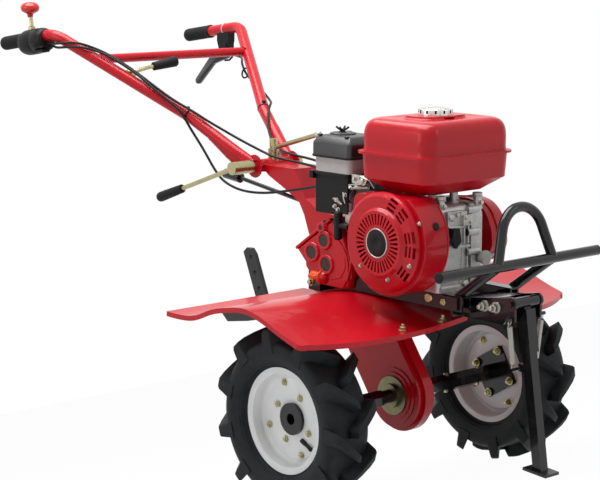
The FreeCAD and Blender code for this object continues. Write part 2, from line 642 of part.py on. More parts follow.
def make_front_bracket():
    """Front mounting bracket: two side plates under a sloping round-nosed top plate, with the
    cheeks and bolt that carry the stand, its spring pegs and the ears on the rails."""
    half, wall = BRACKET_HALF, BRACKET_WALL
    low = BRACKET_TOP_Z - BRACKET_H
    x0, x1 = BRACKET_X
    boss = BRACKET_TOP_Z - STAND_PIVOT_Z + 4
    sheet = side_plate([(x0, BRACKET_REAR_Z - wall), (x1, BRACKET_TOP_Z - wall), (x1, BRACKET_TOP_Z),
                        (x0, BRACKET_REAR_Z)], -half, half)
    nose = box((x0 - 1, x1), (-half, half), (low - 1, BRACKET_TOP_Z + 1))
    nose = round_edges(nose, half - 4, lambda e: runs_along(e, Z_AXIS) and e.BoundBox.XMin > x1 - 1)
    inner = RAIL_Y - RAIL_W / 2 - FIT
    pieces = [box((x0, x0 + wall), (-inner, inner), (low, BRACKET_REAR_Z - 2))]
    for side in (-1, 1):
        y0, y1 = sorted((side * half, side * (half - wall)))
        cheek = [(x0, low), (STAND_PIVOT_X - 20, low), (STAND_PIVOT_X, STAND_PIVOT_Z - boss),
                 (STAND_PIVOT_X, STAND_PIVOT_Z + boss), (x1 - 10, BRACKET_TOP_Z - 2), (x0, BRACKET_REAR_Z - 2)]
        pieces.append(side_plate(cheek, y0, y1))
        pieces.append(rod((STAND_PIVOT_X, y0, STAND_PIVOT_Z), (STAND_PIVOT_X, y1, STAND_PIVOT_Z), boss))
        pieces.append(box((SPRING_TOP[0] - 9, SPRING_TOP[0] + 7), (y0, y1), (SPRING_TOP[2] - 6, STAND_PIVOT_Z)))
        y0, y1 = sorted((side * half, side * (RAIL_Y - RAIL_W / 2 - FIT)))
        pieces.append(box((x0, RAIL_X[1]), (y0, y1), (BRACKET_REAR_Z - 22, BRACKET_REAR_Z - 8)))
        y0, y1 = sorted((side * half, side * (SPRING_TOP[1] + SPRING_R + 2)))
        pieces.append(rod((SPRING_TOP[0], y0, SPRING_TOP[2]), (SPRING_TOP[0], y1, SPRING_TOP[2]), SPRING_PEG_R))
    bolt = rod((STAND_PIVOT_X, -half - 6, STAND_PIVOT_Z), (STAND_PIVOT_X, half + 6, STAND_PIVOT_Z),
               STAND_PIN_R)
    return sheet.common(nose).fuse(pieces + [bolt])


def make_bumper():
    """Tubular front guard: cross tube, upright arch and the two braces to the rails."""
    bar = rod((BUMPER_X, -BUMPER_HALF, BUMPER_Z), (BUMPER_X, BUMPER_HALF, BUMPER_Z), BUMPER_R)
    low = [(BUMPER_X, ARCH_Y - ARCH_HALF, BUMPER_Z), (ARCH_TOP_X, ARCH_Y - ARCH_TOP_HALF, ARCH_TOP_Z)]
    high = [(x, 2 * ARCH_Y - y, z) for x, y, z in reversed(low)]
    pieces = [swept(bent_path(low + high, ARCH_BEND), ARCH_R)]
    rail_top = ENGINE_BASE_Z - FIT
    for side in (-1, 1):
        y = ARCH_Y + side * ARCH_HALF
        pieces.append(rod((BRACE_FOOT[0], y, BRACE_FOOT[1]), (BUMPER_X - 6, y, BUMPER_Z - 4), ARCH_R))
        outer = side * (RAIL_Y + RAIL_W / 2)
        y0, y1 = sorted((outer + side * FIT, outer + side * (FIT + 5)))
        pieces.append(box((BRACE_FOOT[0] - 20, BRACE_FOOT[0] + 26), (y0, y1), (rail_top - 28, rail_top - 2)))
    guard = bar.fuse(pieces)
    clearance = [box((0, BRACE_FOOT[0] + 60), (side * RAIL_Y - RAIL_W / 2 - FIT, side * RAIL_Y + RAIL_W / 2 + FIT),
                     (0, rail_top + FIT)) for side in (-1, 1)]
    return guard.cut(clearance)


def make_hitch_bracket():
    """Drawbar behind the gearbox: two plates that hold the depth stake between them."""
    outline = [(-151, GEARBOX_BASE_Z - FIT), (-190, 262), (-222, 262), (-244, 204), (-372, 174),
               (-430, 160), (-566, 118), (-603, 88), (-582, 71), (-506, 84), (-440, 100),
               (-392, 130), (-246, 158), (-151, 190)]
    inner = STAKE_T / 2 + FIT
    plates = []
    for side in (-1, 1):
        y0, y1 = sorted((side * inner, side * (inner + DRAWBAR_WALL)))
        plates.append(side_plate(outline, y0, y1))
    spacer = box((-395, -270), (-inner, inner), (158, 164))
    mount = box((-236, -198), (-60, 60), (209, 262))
    bar = plates[0].fuse([plates[1], spacer, mount])
    corner = side_plate(GEARBOX_OUTLINE, -200, 200)
    corner.translate(V(-FIT, 0, -FIT))
    pin = rod((HITCH_PIN[0], -90, HITCH_PIN[1]), (HITCH_PIN[0], 90, HITCH_PIN[1]), HITCH_PIN_R)
    clear = case_stadium(CASE_SEAM_R + FIT, CASE_SEAM_T + FIT).fuse(
        case_stadium(CASE_FACE_R + FIT, CASE_T + FIT))
    return bar.cut([corner, pin, clear])


def make_depth_stake():
    """Flat depth stake held in the drawbar, with a row of setting holes."""
    (x0, z0), (x1, z1), half = STAKE_TOP, STAKE_FOOT, STAKE_HALF
    outline = [(x0 - 8, z0), (x0 + 8, z0), (x0 + half, z0 - 12), (x1 + half, z1), (x1 - half, z1), (x0 - half, z0 - 12)]
    stake = side_plate(outline, -STAKE_T / 2, STAKE_T / 2)
    length = math.hypot(x1 - x0, z1 - z0)
    holes = []
    for k in range(3):
        share = (22 + k * STAKE_PITCH) / length
        x, z = x0 + (x1 - x0) * share, z0 + (z1 - z0) * share
        holes.append(rod((x, -20, z), (x, 20, z), STAKE_HOLE_R))
    return stake.cut(holes)


def make_column():
    """Pressed channel column on the gearbox's inclined face, with its head tube."""
    outline = [(-176, 343.4), (-238, 318), (-252, 332), (-268, 373), (-285, 400), (-324, 421),
               (-391, 451), (-405, 462), (-392, 474), (-300, 474), (-262, 410), (-222, 388), (-124, 378.2)]
    inside = [(-130, 374.4), (-223, 383.8), (-265, 406.2), (-303, 469.8), (-398, 469.8),
              (-398, 300), (-130, 300)]
    y0, y1 = -COLUMN_HALF, COLUMN_HALF
    column = side_plate(outline, y0, y1).cut(side_plate(inside, y0 + COLUMN_WALL, y1 - COLUMN_WALL))
    foot = side_plate([(-238, 302.4), (-242, 309), (-124, 387.6), (-116, 383.7)], -60, 60)
    seat = side_plate([(-300, 261), (-80, 407.7), (-80, 100), (-300, 100)], -90, 90)
    seat.translate(V(-0.554 * FIT, 0, 0.832 * FIT))
    head = rod((PIVOT_X, -HEAD_HALF, PIVOT_Z), (PIVOT_X, HEAD_HALF, PIVOT_Z), HEAD_TUBE_R)
    web = box((PIVOT_X, -394), (y0, y1), (PIVOT_Z - 12, PIVOT_Z + 4))
    bore = rod((PIVOT_X, -90, PIVOT_Z), (PIVOT_X, 90, PIVOT_Z), PIVOT_R + SHAFT_CLEARANCE)
    rod_hole = rod((-195, -4, 291), (-262, -4, 384), 9)
    return column.fuse([foot, head, web]).removeSplitter().cut([seat, bore, rod_hole])


def make_fender(side):
    """Pressed mudguard: a ruled sheet with a down-turned lip on its outer, rear and front edges."""
    inner_y = CASE_T / 2 + side * CASE_Y + FIT
    outer_line = [(x, TYRE_R + rise) for x, rise, depth in FENDER_STATIONS]
    inner_line = [(x, GEARBOX_BASE_Z - depth) for x, rise, depth in FENDER_STATIONS]

    def slab(drop, depth):
        wires = []
        for y, line in ((FENDER_OUT_Y + 10, outer_line), (inner_y - 1, inner_line)):
            top = Part.BSplineCurve()
            top.interpolate([V(x, y, z - drop) for x, z in line])
            low = top.copy()
            low.translate(V(0, 0, -depth))
            ends = [Part.makeLine(V(x, y, z - drop), V(x, y, z - drop - depth)) for x, z in (line[0], line[-1])]
            wires.append(Part.Wire(Part.__sortEdges__([top.toShape(), ends[1], low.toShape(), ends[0]])))
        return Part.makeLoft(wires, True, True)

    front_end = V(*FENDER_FRONT[2], 0)
    tip = V(*FENDER_CORNER, 0)
    rear = [V(FENDER_REAR_X[1], FENDER_OUT_Y, 0), V(FENDER_REAR_X[0], inner_y, 0)]
    front = Part.Arc(V(FENDER_FRONT[0][0], inner_y, 0), V(*FENDER_FRONT[1], 0), front_end).toShape()
    nose = Part.Arc(front_end, (front_end + tip) * 0.5 + V(3.5, 5.5, 0), tip).toShape()
    sides = [tip] + rear + [V(FENDER_FRONT[0][0], inner_y, 0)]
    plan = Part.Face(Part.Wire([front, nose] + [Part.makeLine(p, q) for p, q in zip(sides, sides[1:])]))
    inset = V(-FENDER_T, 0, 0)
    bend = V(-FENDER_T, -FENDER_T, 0)
    inside = [p + inset for p in front.discretize(12)] + [p + bend for p in nose.discretize(5)][1:]
    inside += [rear[0] + V(FENDER_T, -FENDER_T, 0), rear[1] + V(FENDER_T, -9, 0), inside[0] + V(0, -9, 0)]
    under = Part.Face(Part.makePolygon(inside + inside[:1]))
    skin = slab(0, FENDER_LIP).common(plan.extrude(V(0, 0, 500)))
    fender = skin.cut(slab(FENDER_T, 40).common(under.extrude(V(0, 0, 500))))
    return fender if side > 0 else mirrored(fender)


# ================================================================ stand
def make_stand_leg():
    """Folding front stand: eye, sleeve, square leg and foot plate."""
    dx = STAND_FOOT_X - STAND_PIVOT_X
    dz = STAND_FOOT_Z - STAND_PIVOT_Z
    length = math.hypot(dx, dz)
    half, sleeve_half = STAND_TUBE / 2, STAND_SLEEVE / 2
    leg = box((-half, half), (-half, half), (-length + 1, -30))
    sleeve = box((-sleeve_half, sleeve_half), (-sleeve_half, sleeve_half), (-104, -14))
    neck = box((-6, 6), (-9, 9), (-40, -8))
    eye_half = BRACKET_HALF - BRACKET_WALL - 1
    eye = rod((0, -eye_half, 0), (0, eye_half, 0), STAND_TUBE_R)
    bore = rod((0, -40, 0), (0, 40, 0), STAND_PIN_R + SHAFT_CLEARANCE)
    leg = leg.fuse([sleeve, neck, eye]).cut(bore)
    leg.rotate(V(0, 0, 0), Y_AXIS, math.degrees(math.atan2(-dx, -dz)))
    leg.translate(V(STAND_PIVOT_X, 0, STAND_PIVOT_Z))
    foot = box((-FOOT_L / 2, FOOT_L / 2), (-FOOT_W / 2, FOOT_W / 2), (0, FOOT_T))
    foot.rotate(V(0, 0, 0), Y_AXIS, FOOT_SLOPE)
    foot.translate(V(STAND_FOOT_X, 0, STAND_FOOT_Z))
    below = foot.copy()
    below.translate(V(0, 0, -FOOT_T))
    x, y, z = SPRING_LOW
    pin = rod((x, -y - SPRING_R, z), (x, y + SPRING_R, z), SPRING_PEG_R)
    lug = box((x - 7, x + 16), (-half, half), (z - 8, z + 8))
    return leg.cut(below).fuse([foot, lug, pin])


def make_stand_springs():
    """Two extension springs between the bracket's pegs and the leg's cross pin."""
    springs = []
    for side in (-1, 1):
        (x0, y0, z0), (x1, y1, z1) = SPRING_TOP, SPRING_LOW
        spring = rod((x0, side * y0, z0 + SPRING_R), (x1, side * y1, z1 - SPRING_R), SPRING_R)
        for x, z in ((x0, z0), (x1, z1)):
            spring = spring.cut(rod((x, -90, z), (x, 90, z), SPRING_PEG_R + FIT))
        springs.append(max(spring.Solids, key=lambda piece: piece.Volume))
    return Part.makeCompound(springs)


# ================================================================ handlebar
def arm_points(side):
    """Corner points of one handlebar arm, from its root to its end."""
    root = (PIVOT_X - ARM_EYE_R + 4, ARM_ROOT_Y, PIVOT_Z + 8)
    return [(x, side * y, z) for x, y, z in (root, ARM_KNEE, ARM_CREST, ARM_END)]


def make_handle_tube():
    """Left handlebar arm: flattened eye, lower tube, bend and upper tube."""
    arm = tube(arm_points(1), ARM_R, ARM_WALL, 70)
    y0 = ARM_ROOT_Y - ARM_EYE_T / 2
    eye = rod((PIVOT_X, y0, PIVOT_Z), (PIVOT_X, y0 + ARM_EYE_T, PIVOT_Z), ARM_EYE_R)
    bore = rod((PIVOT_X, y0 - 9, PIVOT_Z), (PIVOT_X, y0 + ARM_EYE_T + 9, PIVOT_Z),
               PIVOT_R + SHAFT_CLEARANCE)
    clear = rod((PIVOT_X, -HEAD_HALF - FIT, PIVOT_Z), (PIVOT_X, HEAD_HALF + FIT, PIVOT_Z), 60)
    return arm.fuse(eye).cut([bore, clear])


def between(start, end, share):
    """Point at a share of the way from start to end."""
    return tuple(a + (b - a) * share for a, b in zip(start, end))


def make_crossbar():
    """Tube that ties the two arms together."""
    x, y, z = between(ARM_KNEE, ARM_CREST, CROSSBAR_AT)
    bar = rod((x, -y, z), (x, y, z), CROSSBAR_R)
    bar = bar.cut(rod((x, -y, z), (x, y, z), CROSSBAR_R - ARM_WALL))
    arms = [swept(bent_path(arm_points(side), 70), ARM_R + FIT) for side in (-1, 1)]
    pieces = bar.cut(arms).Solids
    return max(pieces, key=lambda piece: piece.Volume)


def make_grip(side):
    """Rubber grip over the arm's end."""
    crest, end = [V(*p) for p in arm_points(side)[2:]]
    way = (crest - end).normalize()
    length = GRIP_L[side]
    grip = Part.makeCylinder(GRIP_R, length, end - way * 4, way)
    return grip.cut(Part.makeCylinder(ARM_R + FIT, length, end, way))


def handle_sleeve(side, x0, x1, radius):
    """Round collar about the arm's upper tube, between two stations."""
    crest, end = [V(*p) for p in arm_points(side)[2:]]
    way = (crest - end).normalize()
    first, last = [(x - end.x) / way.x for x in (x0, x1)]
    collar = Part.makeCylinder(radius, last - first, end + way * first, way)
    return collar.cut(Part.makeCylinder(ARM_R + FIT, last - first + 2, end + way * (first - 1), way))


def make_throttle_box():
    """Switch and throttle housing inboard of the right grip, with its knob."""
    crest, end = [V(*p) for p in arm_points(-1)[2:]]
    way = (crest - end).normalize()
    first, last = [(x - end.x) / way.x for x in THROTTLE_BOX_X]
    start = end + way * first - V(0, 0, THROTTLE_BOX_DROP)
    body = Part.makeCylinder(THROTTLE_BOX_R, last - first, start, way)
    body = round_edges(body, 5, lambda e: True)
    middle = start + way * ((last - first) * 0.42)
    stem = rod((middle.x, middle.y, middle.z + 20), (middle.x - 5, middle.y, 814), 5)
    knob = rod((middle.x - 5, middle.y, 811), (middle.x - 6, middle.y, 838), 23)
    knob = round_edges(knob, 8, lambda e: True)
    arm = swept(bent_path(arm_points(-1), 70), ARM_R + FIT)
    return body.fuse([stem, knob]).cut(arm)


def make_clutch_bracket():
    """Clamp that carries the clutch lever on the left arm."""
    x, z = CLUTCH_PIVOT
    collar = handle_sleeve(1, x - 36, x + 8, 18.5)
    low, high = CLUTCH_LEVER_Y
    lug = box((x - 22, x + 14), (low + 1, high - 1), (z - 12, z + 32))
    lug = round_edges(lug, 4, lambda e: runs_along(e, Y_AXIS))
    arm = swept(bent_path(arm_points(1), 70), ARM_R + FIT)
    return collar.fuse(lug).cut(arm)


def make_clutch_lever():
    """Long clutch lever hanging below the left grip."""
    x, z = CLUTCH_PIVOT
    tip_x, tip_z = CLUTCH_TIP
    outline = [(x + 6, z - 12.3), (x - 18, z - 12.3), (-1012, 681), (tip_x - 9, tip_z + 6),
               (tip_x + 7, tip_z - 7), (-998, 662), (x + 4, z - 30)]
    lever = side_plate(outline, *CLUTCH_LEVER_Y)
    return round_edges(lever, 4, lambda e: runs_along(e, Y_AXIS))


def make_lock_lever():
    """Small selector lever on the right arm, pointing inward."""
    base = rod((-736, -200, 664), (-738, -168, 675), 13)
    stem = rod((-738, -172, 674), (-742, -104, 687), 5)
    start, end = V(-742, -108, 686), V(-742, -38, 696)
    grip = Part.makeCone(10.5, 13, start.distanceToPoint(end), start, end - start)
    arm = swept(bent_path(arm_points(-1), 70), ARM_R + FIT)
    return base.fuse([stem, grip]).cut(arm)


def make_clamp_levers():
    """Clamp bolt through the head tube with its cam and bent lever, and the post on the head
    tube with its own lever."""
    outer = ARM_ROOT_Y + ARM_EYE_T / 2 + FIT
    y = CLAMP_LEVER_Y
    bolt = rod((PIVOT_X, -y, PIVOT_Z), (PIVOT_X, outer + 16, PIVOT_Z), PIVOT_R)
    cam = rod((PIVOT_X, -outer, PIVOT_Z), (PIVOT_X, -y - 6, PIVOT_Z), 15)
    nut = rod((PIVOT_X, outer, PIVOT_Z), (PIVOT_X, outer + 12, PIVOT_Z), 13)
    return bolt.fuse([cam, nut, rod((PIVOT_X, -y, PIVOT_Z), CLAMP_GRIP[0], 5.5)])


def make_head_post():
    """Post clamped on top of the head tube, with its forward lever."""
    post = rod((PIVOT_X, 0, PIVOT_Z), (PIVOT_X, 0, HEAD_POST_Z), 9.5)
    collar = rod((PIVOT_X, 0, PIVOT_Z), (PIVOT_X, 0, HEAD_POST_Z - 24), 13)
    arm = rod((PIVOT_X, 0, 508), POST_GRIP[0], 5.5)
    tube_space = rod((PIVOT_X, -HEAD_HALF, PIVOT_Z), (PIVOT_X, HEAD_HALF, PIVOT_Z), HEAD_TUBE_R + FIT)
    return post.fuse([collar, arm]).cut(tube_space)


def make_lever_grips():
    """Rubber grips on the clamp lever and on the post's lever."""
    grips = []
    for start, end in (CLAMP_GRIP, POST_GRIP):
        way = (V(*end) - V(*start)).normalize()
        grips.append(Part.makeCylinder(12, V(*start).distanceToPoint(V(*end)), V(*start) + way * FIT, way))
    return Part.makeCompound(grips)


def make_gear_lever():
    """Gear rod with its knob, from the gearbox up through the open back of the column."""
    path = bent_path([(-215, -4, 318.6), (-262, -4, 384), (-330, -4, 396), (-545, -4, 427)], 24)
    knob = rod((-596, -4, 432), (-540, -4, 426), 12)
    return swept(path, 5).fuse(knob)


def make_cable(route):
    """Outer cable: straight runs joined by arcs as large as the runs allow."""
    knots = [V(*p) for p in route]
    edges = []
    last = knots[0]
    for before, corner, after in zip(knots, knots[1:], knots[2:]):
        back, ahead = before - corner, after - corner
        reach = 0.45 * min(back.Length, ahead.Length)
        back.normalize()
        ahead.normalize()
        half = (math.pi - back.getAngle(ahead)) / 2
        radius = reach / math.tan(half)
        start, end = corner + back * reach, corner + ahead * reach
        top = corner + (back + ahead).normalize() * (radius / math.cos(half) - radius)
        edges.append(Part.LineSegment(last, start).toShape())
        edges.append(Part.Arc(start, top, end).toShape())
        last = end
    edges.append(Part.LineSegment(last, knots[-1]).toShape())
    path = Part.Wire(edges)
    solid = swept(path, CABLE_R)
    expected = math.pi * CABLE_R ** 2 * path.Length
    print("cable length", round(path.Length, 1), "volume ratio", round(solid.Volume / expected, 4))
    return solid


# ================================================================ assembly
def build_nodes():
    """Every named sub-part, in the level axes."""
    nodes = {}
    for side, name in ((1, "left"), (-1, "right")):
        nodes["tyre_" + name] = make_tyre(side)
        nodes["rim_" + name] = make_rim(side)
        nodes["hub_" + name] = make_hub(side)
        nodes["fender_" + name] = make_fender(side)
        nodes["handle_tube_" + name] = make_handle_tube() if side > 0 else mirrored(make_handle_tube())
        nodes["grip_" + name] = make_grip(side)
    nodes["axle_shaft"] = make_axle_shaft()
    nodes["gearbox_case"] = make_gearbox_case()
    nodes["chain_case"] = make_chain_case()
    nodes["bearing_flanges"] = make_bearing_flanges()
    nodes["gearbox_plugs"] = make_gearbox_plugs()
    nodes["oil_filler_plug"] = make_oil_filler_plug()
    nodes["belt_cover"] = make_belt_cover()
    nodes["engine_block"] = make_engine_block()
    nodes["cylinder_head"] = make_cylinder_head()
    nodes["fan_shroud"] = make_fan_shroud()
    nodes["starter_cover"] = make_starter_cover()
    nodes["starter_grip"] = make_starter_grip()
    nodes["fuel_tank"] = make_fuel_tank()
    nodes["fuel_cap"] = make_fuel_cap()
    nodes["air_filter_body"], nodes["air_filter_case"], nodes["air_filter_lid"] = make_air_filter()
    nodes["carburettor"] = make_carburettor()
    nodes["muffler"] = make_muffler()
    nodes["engine_rails"] = make_engine_rails()
    nodes["front_bracket"] = make_front_bracket()
    nodes["bumper"] = make_bumper()
    nodes["hitch_bracket"] = make_hitch_bracket()
    nodes["depth_stake"] = make_depth_stake()
    nodes["handlebar_column"] = make_column()
    nodes["clamp_levers"] = make_clamp_levers()
    nodes["head_post"] = make_head_post()
    nodes["lever_grips"] = make_lever_grips()
    nodes["gear_lever"] = make_gear_lever()
    nodes["crossbar"] = make_crossbar()
    nodes["throttle_box"] = make_throttle_box()
    nodes["clutch_bracket"] = make_clutch_bracket()
    nodes["clutch_lever"] = make_clutch_lever()
    nodes["lock_lever"] = make_lock_lever()
    nodes["throttle_cable"] = make_cable(THROTTLE_ROUTE)
    nodes["stop_cable"] = make_cable(STOP_ROUTE)
    nodes["clutch_cable"] = make_cable(CLUTCH_ROUTE)
    nodes["stand_leg"] = make_stand_leg()
    nodes["stand_springs"] = make_stand_springs()
    return nodes


def foot_edge():
    """Lower front edge of the stand's foot plate, where it meets the ground."""
    a = math.radians(FOOT_SLOPE)
    return (STAND_FOOT_X + FOOT_L / 2 * math.cos(a), STAND_FOOT_Z - FOOT_L / 2 * math.sin(a))


def park(nodes):
    """Turn the machine nose down onto its stand and centre it over the origin."""
    x, z = foot_edge()
    pitch = math.degrees(math.asin(TYRE_R / math.hypot(x, z)) - math.atan2(-z, x))
    for shape in nodes.values():
        shape.rotate(V(0, 0, 0), Y_AXIS, pitch)
    low = min(shape.BoundBox.XMin for shape in nodes.values())
    high = max(shape.BoundBox.XMax for shape in nodes.values())
    axle_x = -(low + high) / 2
    for shape in nodes.values():
        shape.translate(V(axle_x, 0, TYRE_R))
    print("park pitch", round(pitch, 5), "axle", round(axle_x, 4), TYRE_R)


all_nodes = build_nodes()
park(all_nodes)
os.makedirs("parts", exist_ok=True)
for name, shape in all_nodes.items():
    print(name, shape.isValid(), len(shape.Solids), round(shape.Volume / 1000, 1), shape.BoundBox)
    shape.exportStep("parts/" + name + ".step")
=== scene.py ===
import json
import math

import bmesh
import bpy
from mathutils import Matrix, Vector


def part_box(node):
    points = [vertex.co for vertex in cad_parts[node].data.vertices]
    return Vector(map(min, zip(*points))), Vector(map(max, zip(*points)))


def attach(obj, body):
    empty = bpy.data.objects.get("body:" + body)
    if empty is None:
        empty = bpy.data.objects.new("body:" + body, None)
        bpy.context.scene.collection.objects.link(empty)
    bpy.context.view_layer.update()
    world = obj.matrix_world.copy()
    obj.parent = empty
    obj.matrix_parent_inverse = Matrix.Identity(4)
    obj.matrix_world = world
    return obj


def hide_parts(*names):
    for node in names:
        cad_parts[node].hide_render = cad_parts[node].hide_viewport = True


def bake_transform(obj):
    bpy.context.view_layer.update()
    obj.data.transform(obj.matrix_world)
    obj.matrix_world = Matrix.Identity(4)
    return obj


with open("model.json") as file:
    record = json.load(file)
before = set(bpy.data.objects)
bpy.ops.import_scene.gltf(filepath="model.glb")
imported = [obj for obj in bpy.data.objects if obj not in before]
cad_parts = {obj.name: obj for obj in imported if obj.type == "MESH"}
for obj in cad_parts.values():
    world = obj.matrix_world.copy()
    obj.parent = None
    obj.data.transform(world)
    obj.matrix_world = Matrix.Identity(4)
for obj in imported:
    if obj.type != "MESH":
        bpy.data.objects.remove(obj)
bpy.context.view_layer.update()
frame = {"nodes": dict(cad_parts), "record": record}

NODES = frame["nodes"]
PI = math.pi
# Directions of the level machine.
FORWARD, BACK, LEFT, RIGHT, UP = (1, 0, 0), (-1, 0, 0), (0, 1, 0), (0, -1, 0), (0, 0, 1)

# The machine is modelled level about its axle and leans nose down as it parks.
PITCH = math.radians(15.36854)
AXLE_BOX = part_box("axle_shaft")
AXLE = (Vector(AXLE_BOX[0]) + Vector(AXLE_BOX[1])) / 2
LEAN = Matrix.Rotation(PITCH, 4, "Y")
LEVEL = Matrix.Translation(AXLE) @ LEAN @ Matrix.Scale(0.001, 4)


def at(x, y, z):
    """Point of the level machine in millimetres, as a point of the row frame in metres."""
    return LEVEL @ Vector((x, y, z))


def link(thing):
    """Puts an object into the scene."""
    bpy.context.scene.collection.objects.link(thing)


# ---------------------------------------------------------------- camera and stage
CAMERA_AT = (3.1081, -2.7294, 0.4376)
CAMERA_RIGHT = Vector((0.666, 0.745, 0.0))
CAMERA_BACK = Vector((0.735, -0.657, 0.166))
CAMERA_LENS = 107.63
AMBIENT = 0.20
FLOOR_HALF = 9
FLOOR_Z = -0.0005      # just under the tyres
FLOOR_GLOW = 0.97      # share of plain white that the camera sees on the floor
# name, place, aim, size, power
LAMPS = [
    ("lamp_top", (0.2, -0.4, 3.2), (0.1, 0, 0.5), (2.6, 2.2), 126),
    ("lamp_front", (3.4, 1.6, 1.6), (0.2, 0, 0.5), (1.2, 1.8), 9),
    ("lamp_near", (-0.9, -3.2, 1.7), (0.1, 0, 0.5), (2.0, 1.6), 17),
]


def make_camera():
    """Camera at the photograph's viewing angle."""
    right = (LEAN.to_3x3() @ CAMERA_RIGHT).normalized()
    back = (LEAN.to_3x3() @ CAMERA_BACK).normalized()
    up = back.cross(right).normalized()
    right = up.cross(back)
    turn = Matrix((right, up, back)).transposed().to_4x4()
    data = bpy.data.cameras.new("camera")
    data.lens = CAMERA_LENS
    data.sensor_width = 36
    camera = bpy.data.objects.new("camera", data)
    camera.matrix_world = Matrix.Translation(CAMERA_AT) @ turn
    link(camera)
    bpy.context.scene.camera = camera


def seen_directly(nodes, links):
    """1 for camera, glossy and transmission rays, 0 for the rays that light the object."""
    path = nodes.new("ShaderNodeLightPath")
    seen = path.outputs["Is Camera Ray"]
    for kind in ("Is Glossy Ray", "Is Transmission Ray"):
        either = nodes.new("ShaderNodeMath")
        either.operation = "MAXIMUM"
        links.new(seen, either.inputs[0])
        links.new(path.outputs[kind], either.inputs[1])
        seen = either.outputs[0]
    return seen


def make_stage():
    """White surroundings, a pale floor and soft lamps."""
    world = bpy.data.worlds.new("world")
    bpy.context.scene.world = world
    world.use_nodes = True
    nodes, links = world.node_tree.nodes, world.node_tree.links
    background = nodes["Background"]
    background.inputs["Color"].default_value = (1, 1, 1, 1)
    level = nodes.new("ShaderNodeMapRange")
    level.inputs["To Min"].default_value = AMBIENT
    level.inputs["To Max"].default_value = 1.0
    links.new(seen_directly(nodes, links), level.inputs["Value"])
    links.new(level.outputs["Result"], background.inputs["Strength"])

    mesh = bpy.data.meshes.new("floor")
    corners = [(x * FLOOR_HALF, y * FLOOR_HALF, FLOOR_Z) for x, y in ((-1, -1), (1, -1), (1, 1), (-1, 1))]
    mesh.from_pydata(corners, [], [(0, 1, 2, 3)])
    floor = bpy.data.objects.new("floor", mesh)
    link(floor)
    material = bpy.data.materials.new("floor")
    material.use_nodes = True
    nodes, links = material.node_tree.nodes, material.node_tree.links
    surface = nodes["Principled BSDF"]
    surface.inputs["Base Color"].default_value = (0.86, 0.86, 0.86, 1)
    surface.inputs["Roughness"].default_value = 0.9
    surface.inputs["Specular IOR Level"].default_value = 0.0
    glow = nodes.new("ShaderNodeEmission")
    glow.inputs["Color"].default_value = (1, 1, 1, 1)
    mix = nodes.new("ShaderNodeMixShader")
    share = nodes.new("ShaderNodeMath")
    share.operation = "MULTIPLY"
    share.inputs[1].default_value = FLOOR_GLOW
    links.new(seen_directly(nodes, links), share.inputs[0])
    links.new(share.outputs[0], mix.inputs[0])
    links.new(surface.outputs[0], mix.inputs[1])
    links.new(glow.outputs[0], mix.inputs[2])
    links.new(mix.outputs[0], nodes["Material Output"].inputs["Surface"])
    mesh.materials.append(material)

    for name, place, aim, size, power in LAMPS:
        data = bpy.data.lights.new(name, "AREA")
        data.shape = "RECTANGLE"
        data.size, data.size_y = size
        data.energy = power
        lamp = bpy.data.objects.new(name, data)
        lamp.location = place
        lamp.rotation_euler = (Vector(aim) - Vector(place)).to_track_quat("-Z", "Y").to_euler()
        link(lamp)

    bpy.context.scene.view_settings.view_transform = "Standard"


# ---------------------------------------------------------------- materials


def finish(name, colour, rough, metallic=0.0, coat=0.0, coat_rough=0.05, vary=0.06, grain=60,
           bump=0.05, bump_size=900, rough_vary=0.08, tint=None, specular=0.5):
    """Procedural finish: slow colour and roughness changes, with a fine bump."""
    material = bpy.data.materials.new(name)
    material.use_nodes = True
    nodes, links = material.node_tree.nodes, material.node_tree.links
    shader = nodes["Principled BSDF"]
    shader.inputs["Metallic"].default_value = metallic
    shader.inputs["Coat Weight"].default_value = coat
    shader.inputs["Coat Roughness"].default_value = coat_rough
    shader.inputs["Specular IOR Level"].default_value = specular
    where = nodes.new("ShaderNodeTexCoord")
    slow = nodes.new("ShaderNodeTexNoise")
    slow.inputs["Scale"].default_value = grain
    slow.inputs["Detail"].default_value = 4
    links.new(where.outputs["Object"], slow.inputs["Vector"])
    ramp = nodes.new("ShaderNodeValToRGB")
    low = [c * (1 - vary) for c in (tint or colour)]
    high = [min(1.0, c * (1 + vary)) for c in colour]
    ramp.color_ramp.elements[0].position = 0.3
    ramp.color_ramp.elements[1].position = 0.7
    ramp.color_ramp.elements[0].color = (*low, 1)
    ramp.color_ramp.elements[1].color = (*high, 1)
    links.new(slow.outputs["Fac"], ramp.inputs["Fac"])
    links.new(ramp.outputs["Color"], shader.inputs["Base Color"])
    spread = nodes.new("ShaderNodeMapRange")
    spread.inputs["To Min"].default_value = max(0.02, rough - rough_vary)
    spread.inputs["To Max"].default_value = min(1.0, rough + rough_vary)
    links.new(slow.outputs["Fac"], spread.inputs["Value"])
    links.new(spread.outputs["Result"], shader.inputs["Roughness"])
    fine = nodes.new("ShaderNodeTexNoise")
    fine.inputs["Scale"].default_value = bump_size
    fine.inputs["Detail"].default_value = 1
    links.new(where.outputs["Object"], fine.inputs["Vector"])
    relief = nodes.new("ShaderNodeBump")
    relief.inputs["Strength"].default_value = bump
    relief.inputs["Distance"].default_value = 0.0006
    links.new(fine.outputs["Fac"], relief.inputs["Height"])
    links.new(relief.outputs["Normal"], shader.inputs["Normal"])
    return material


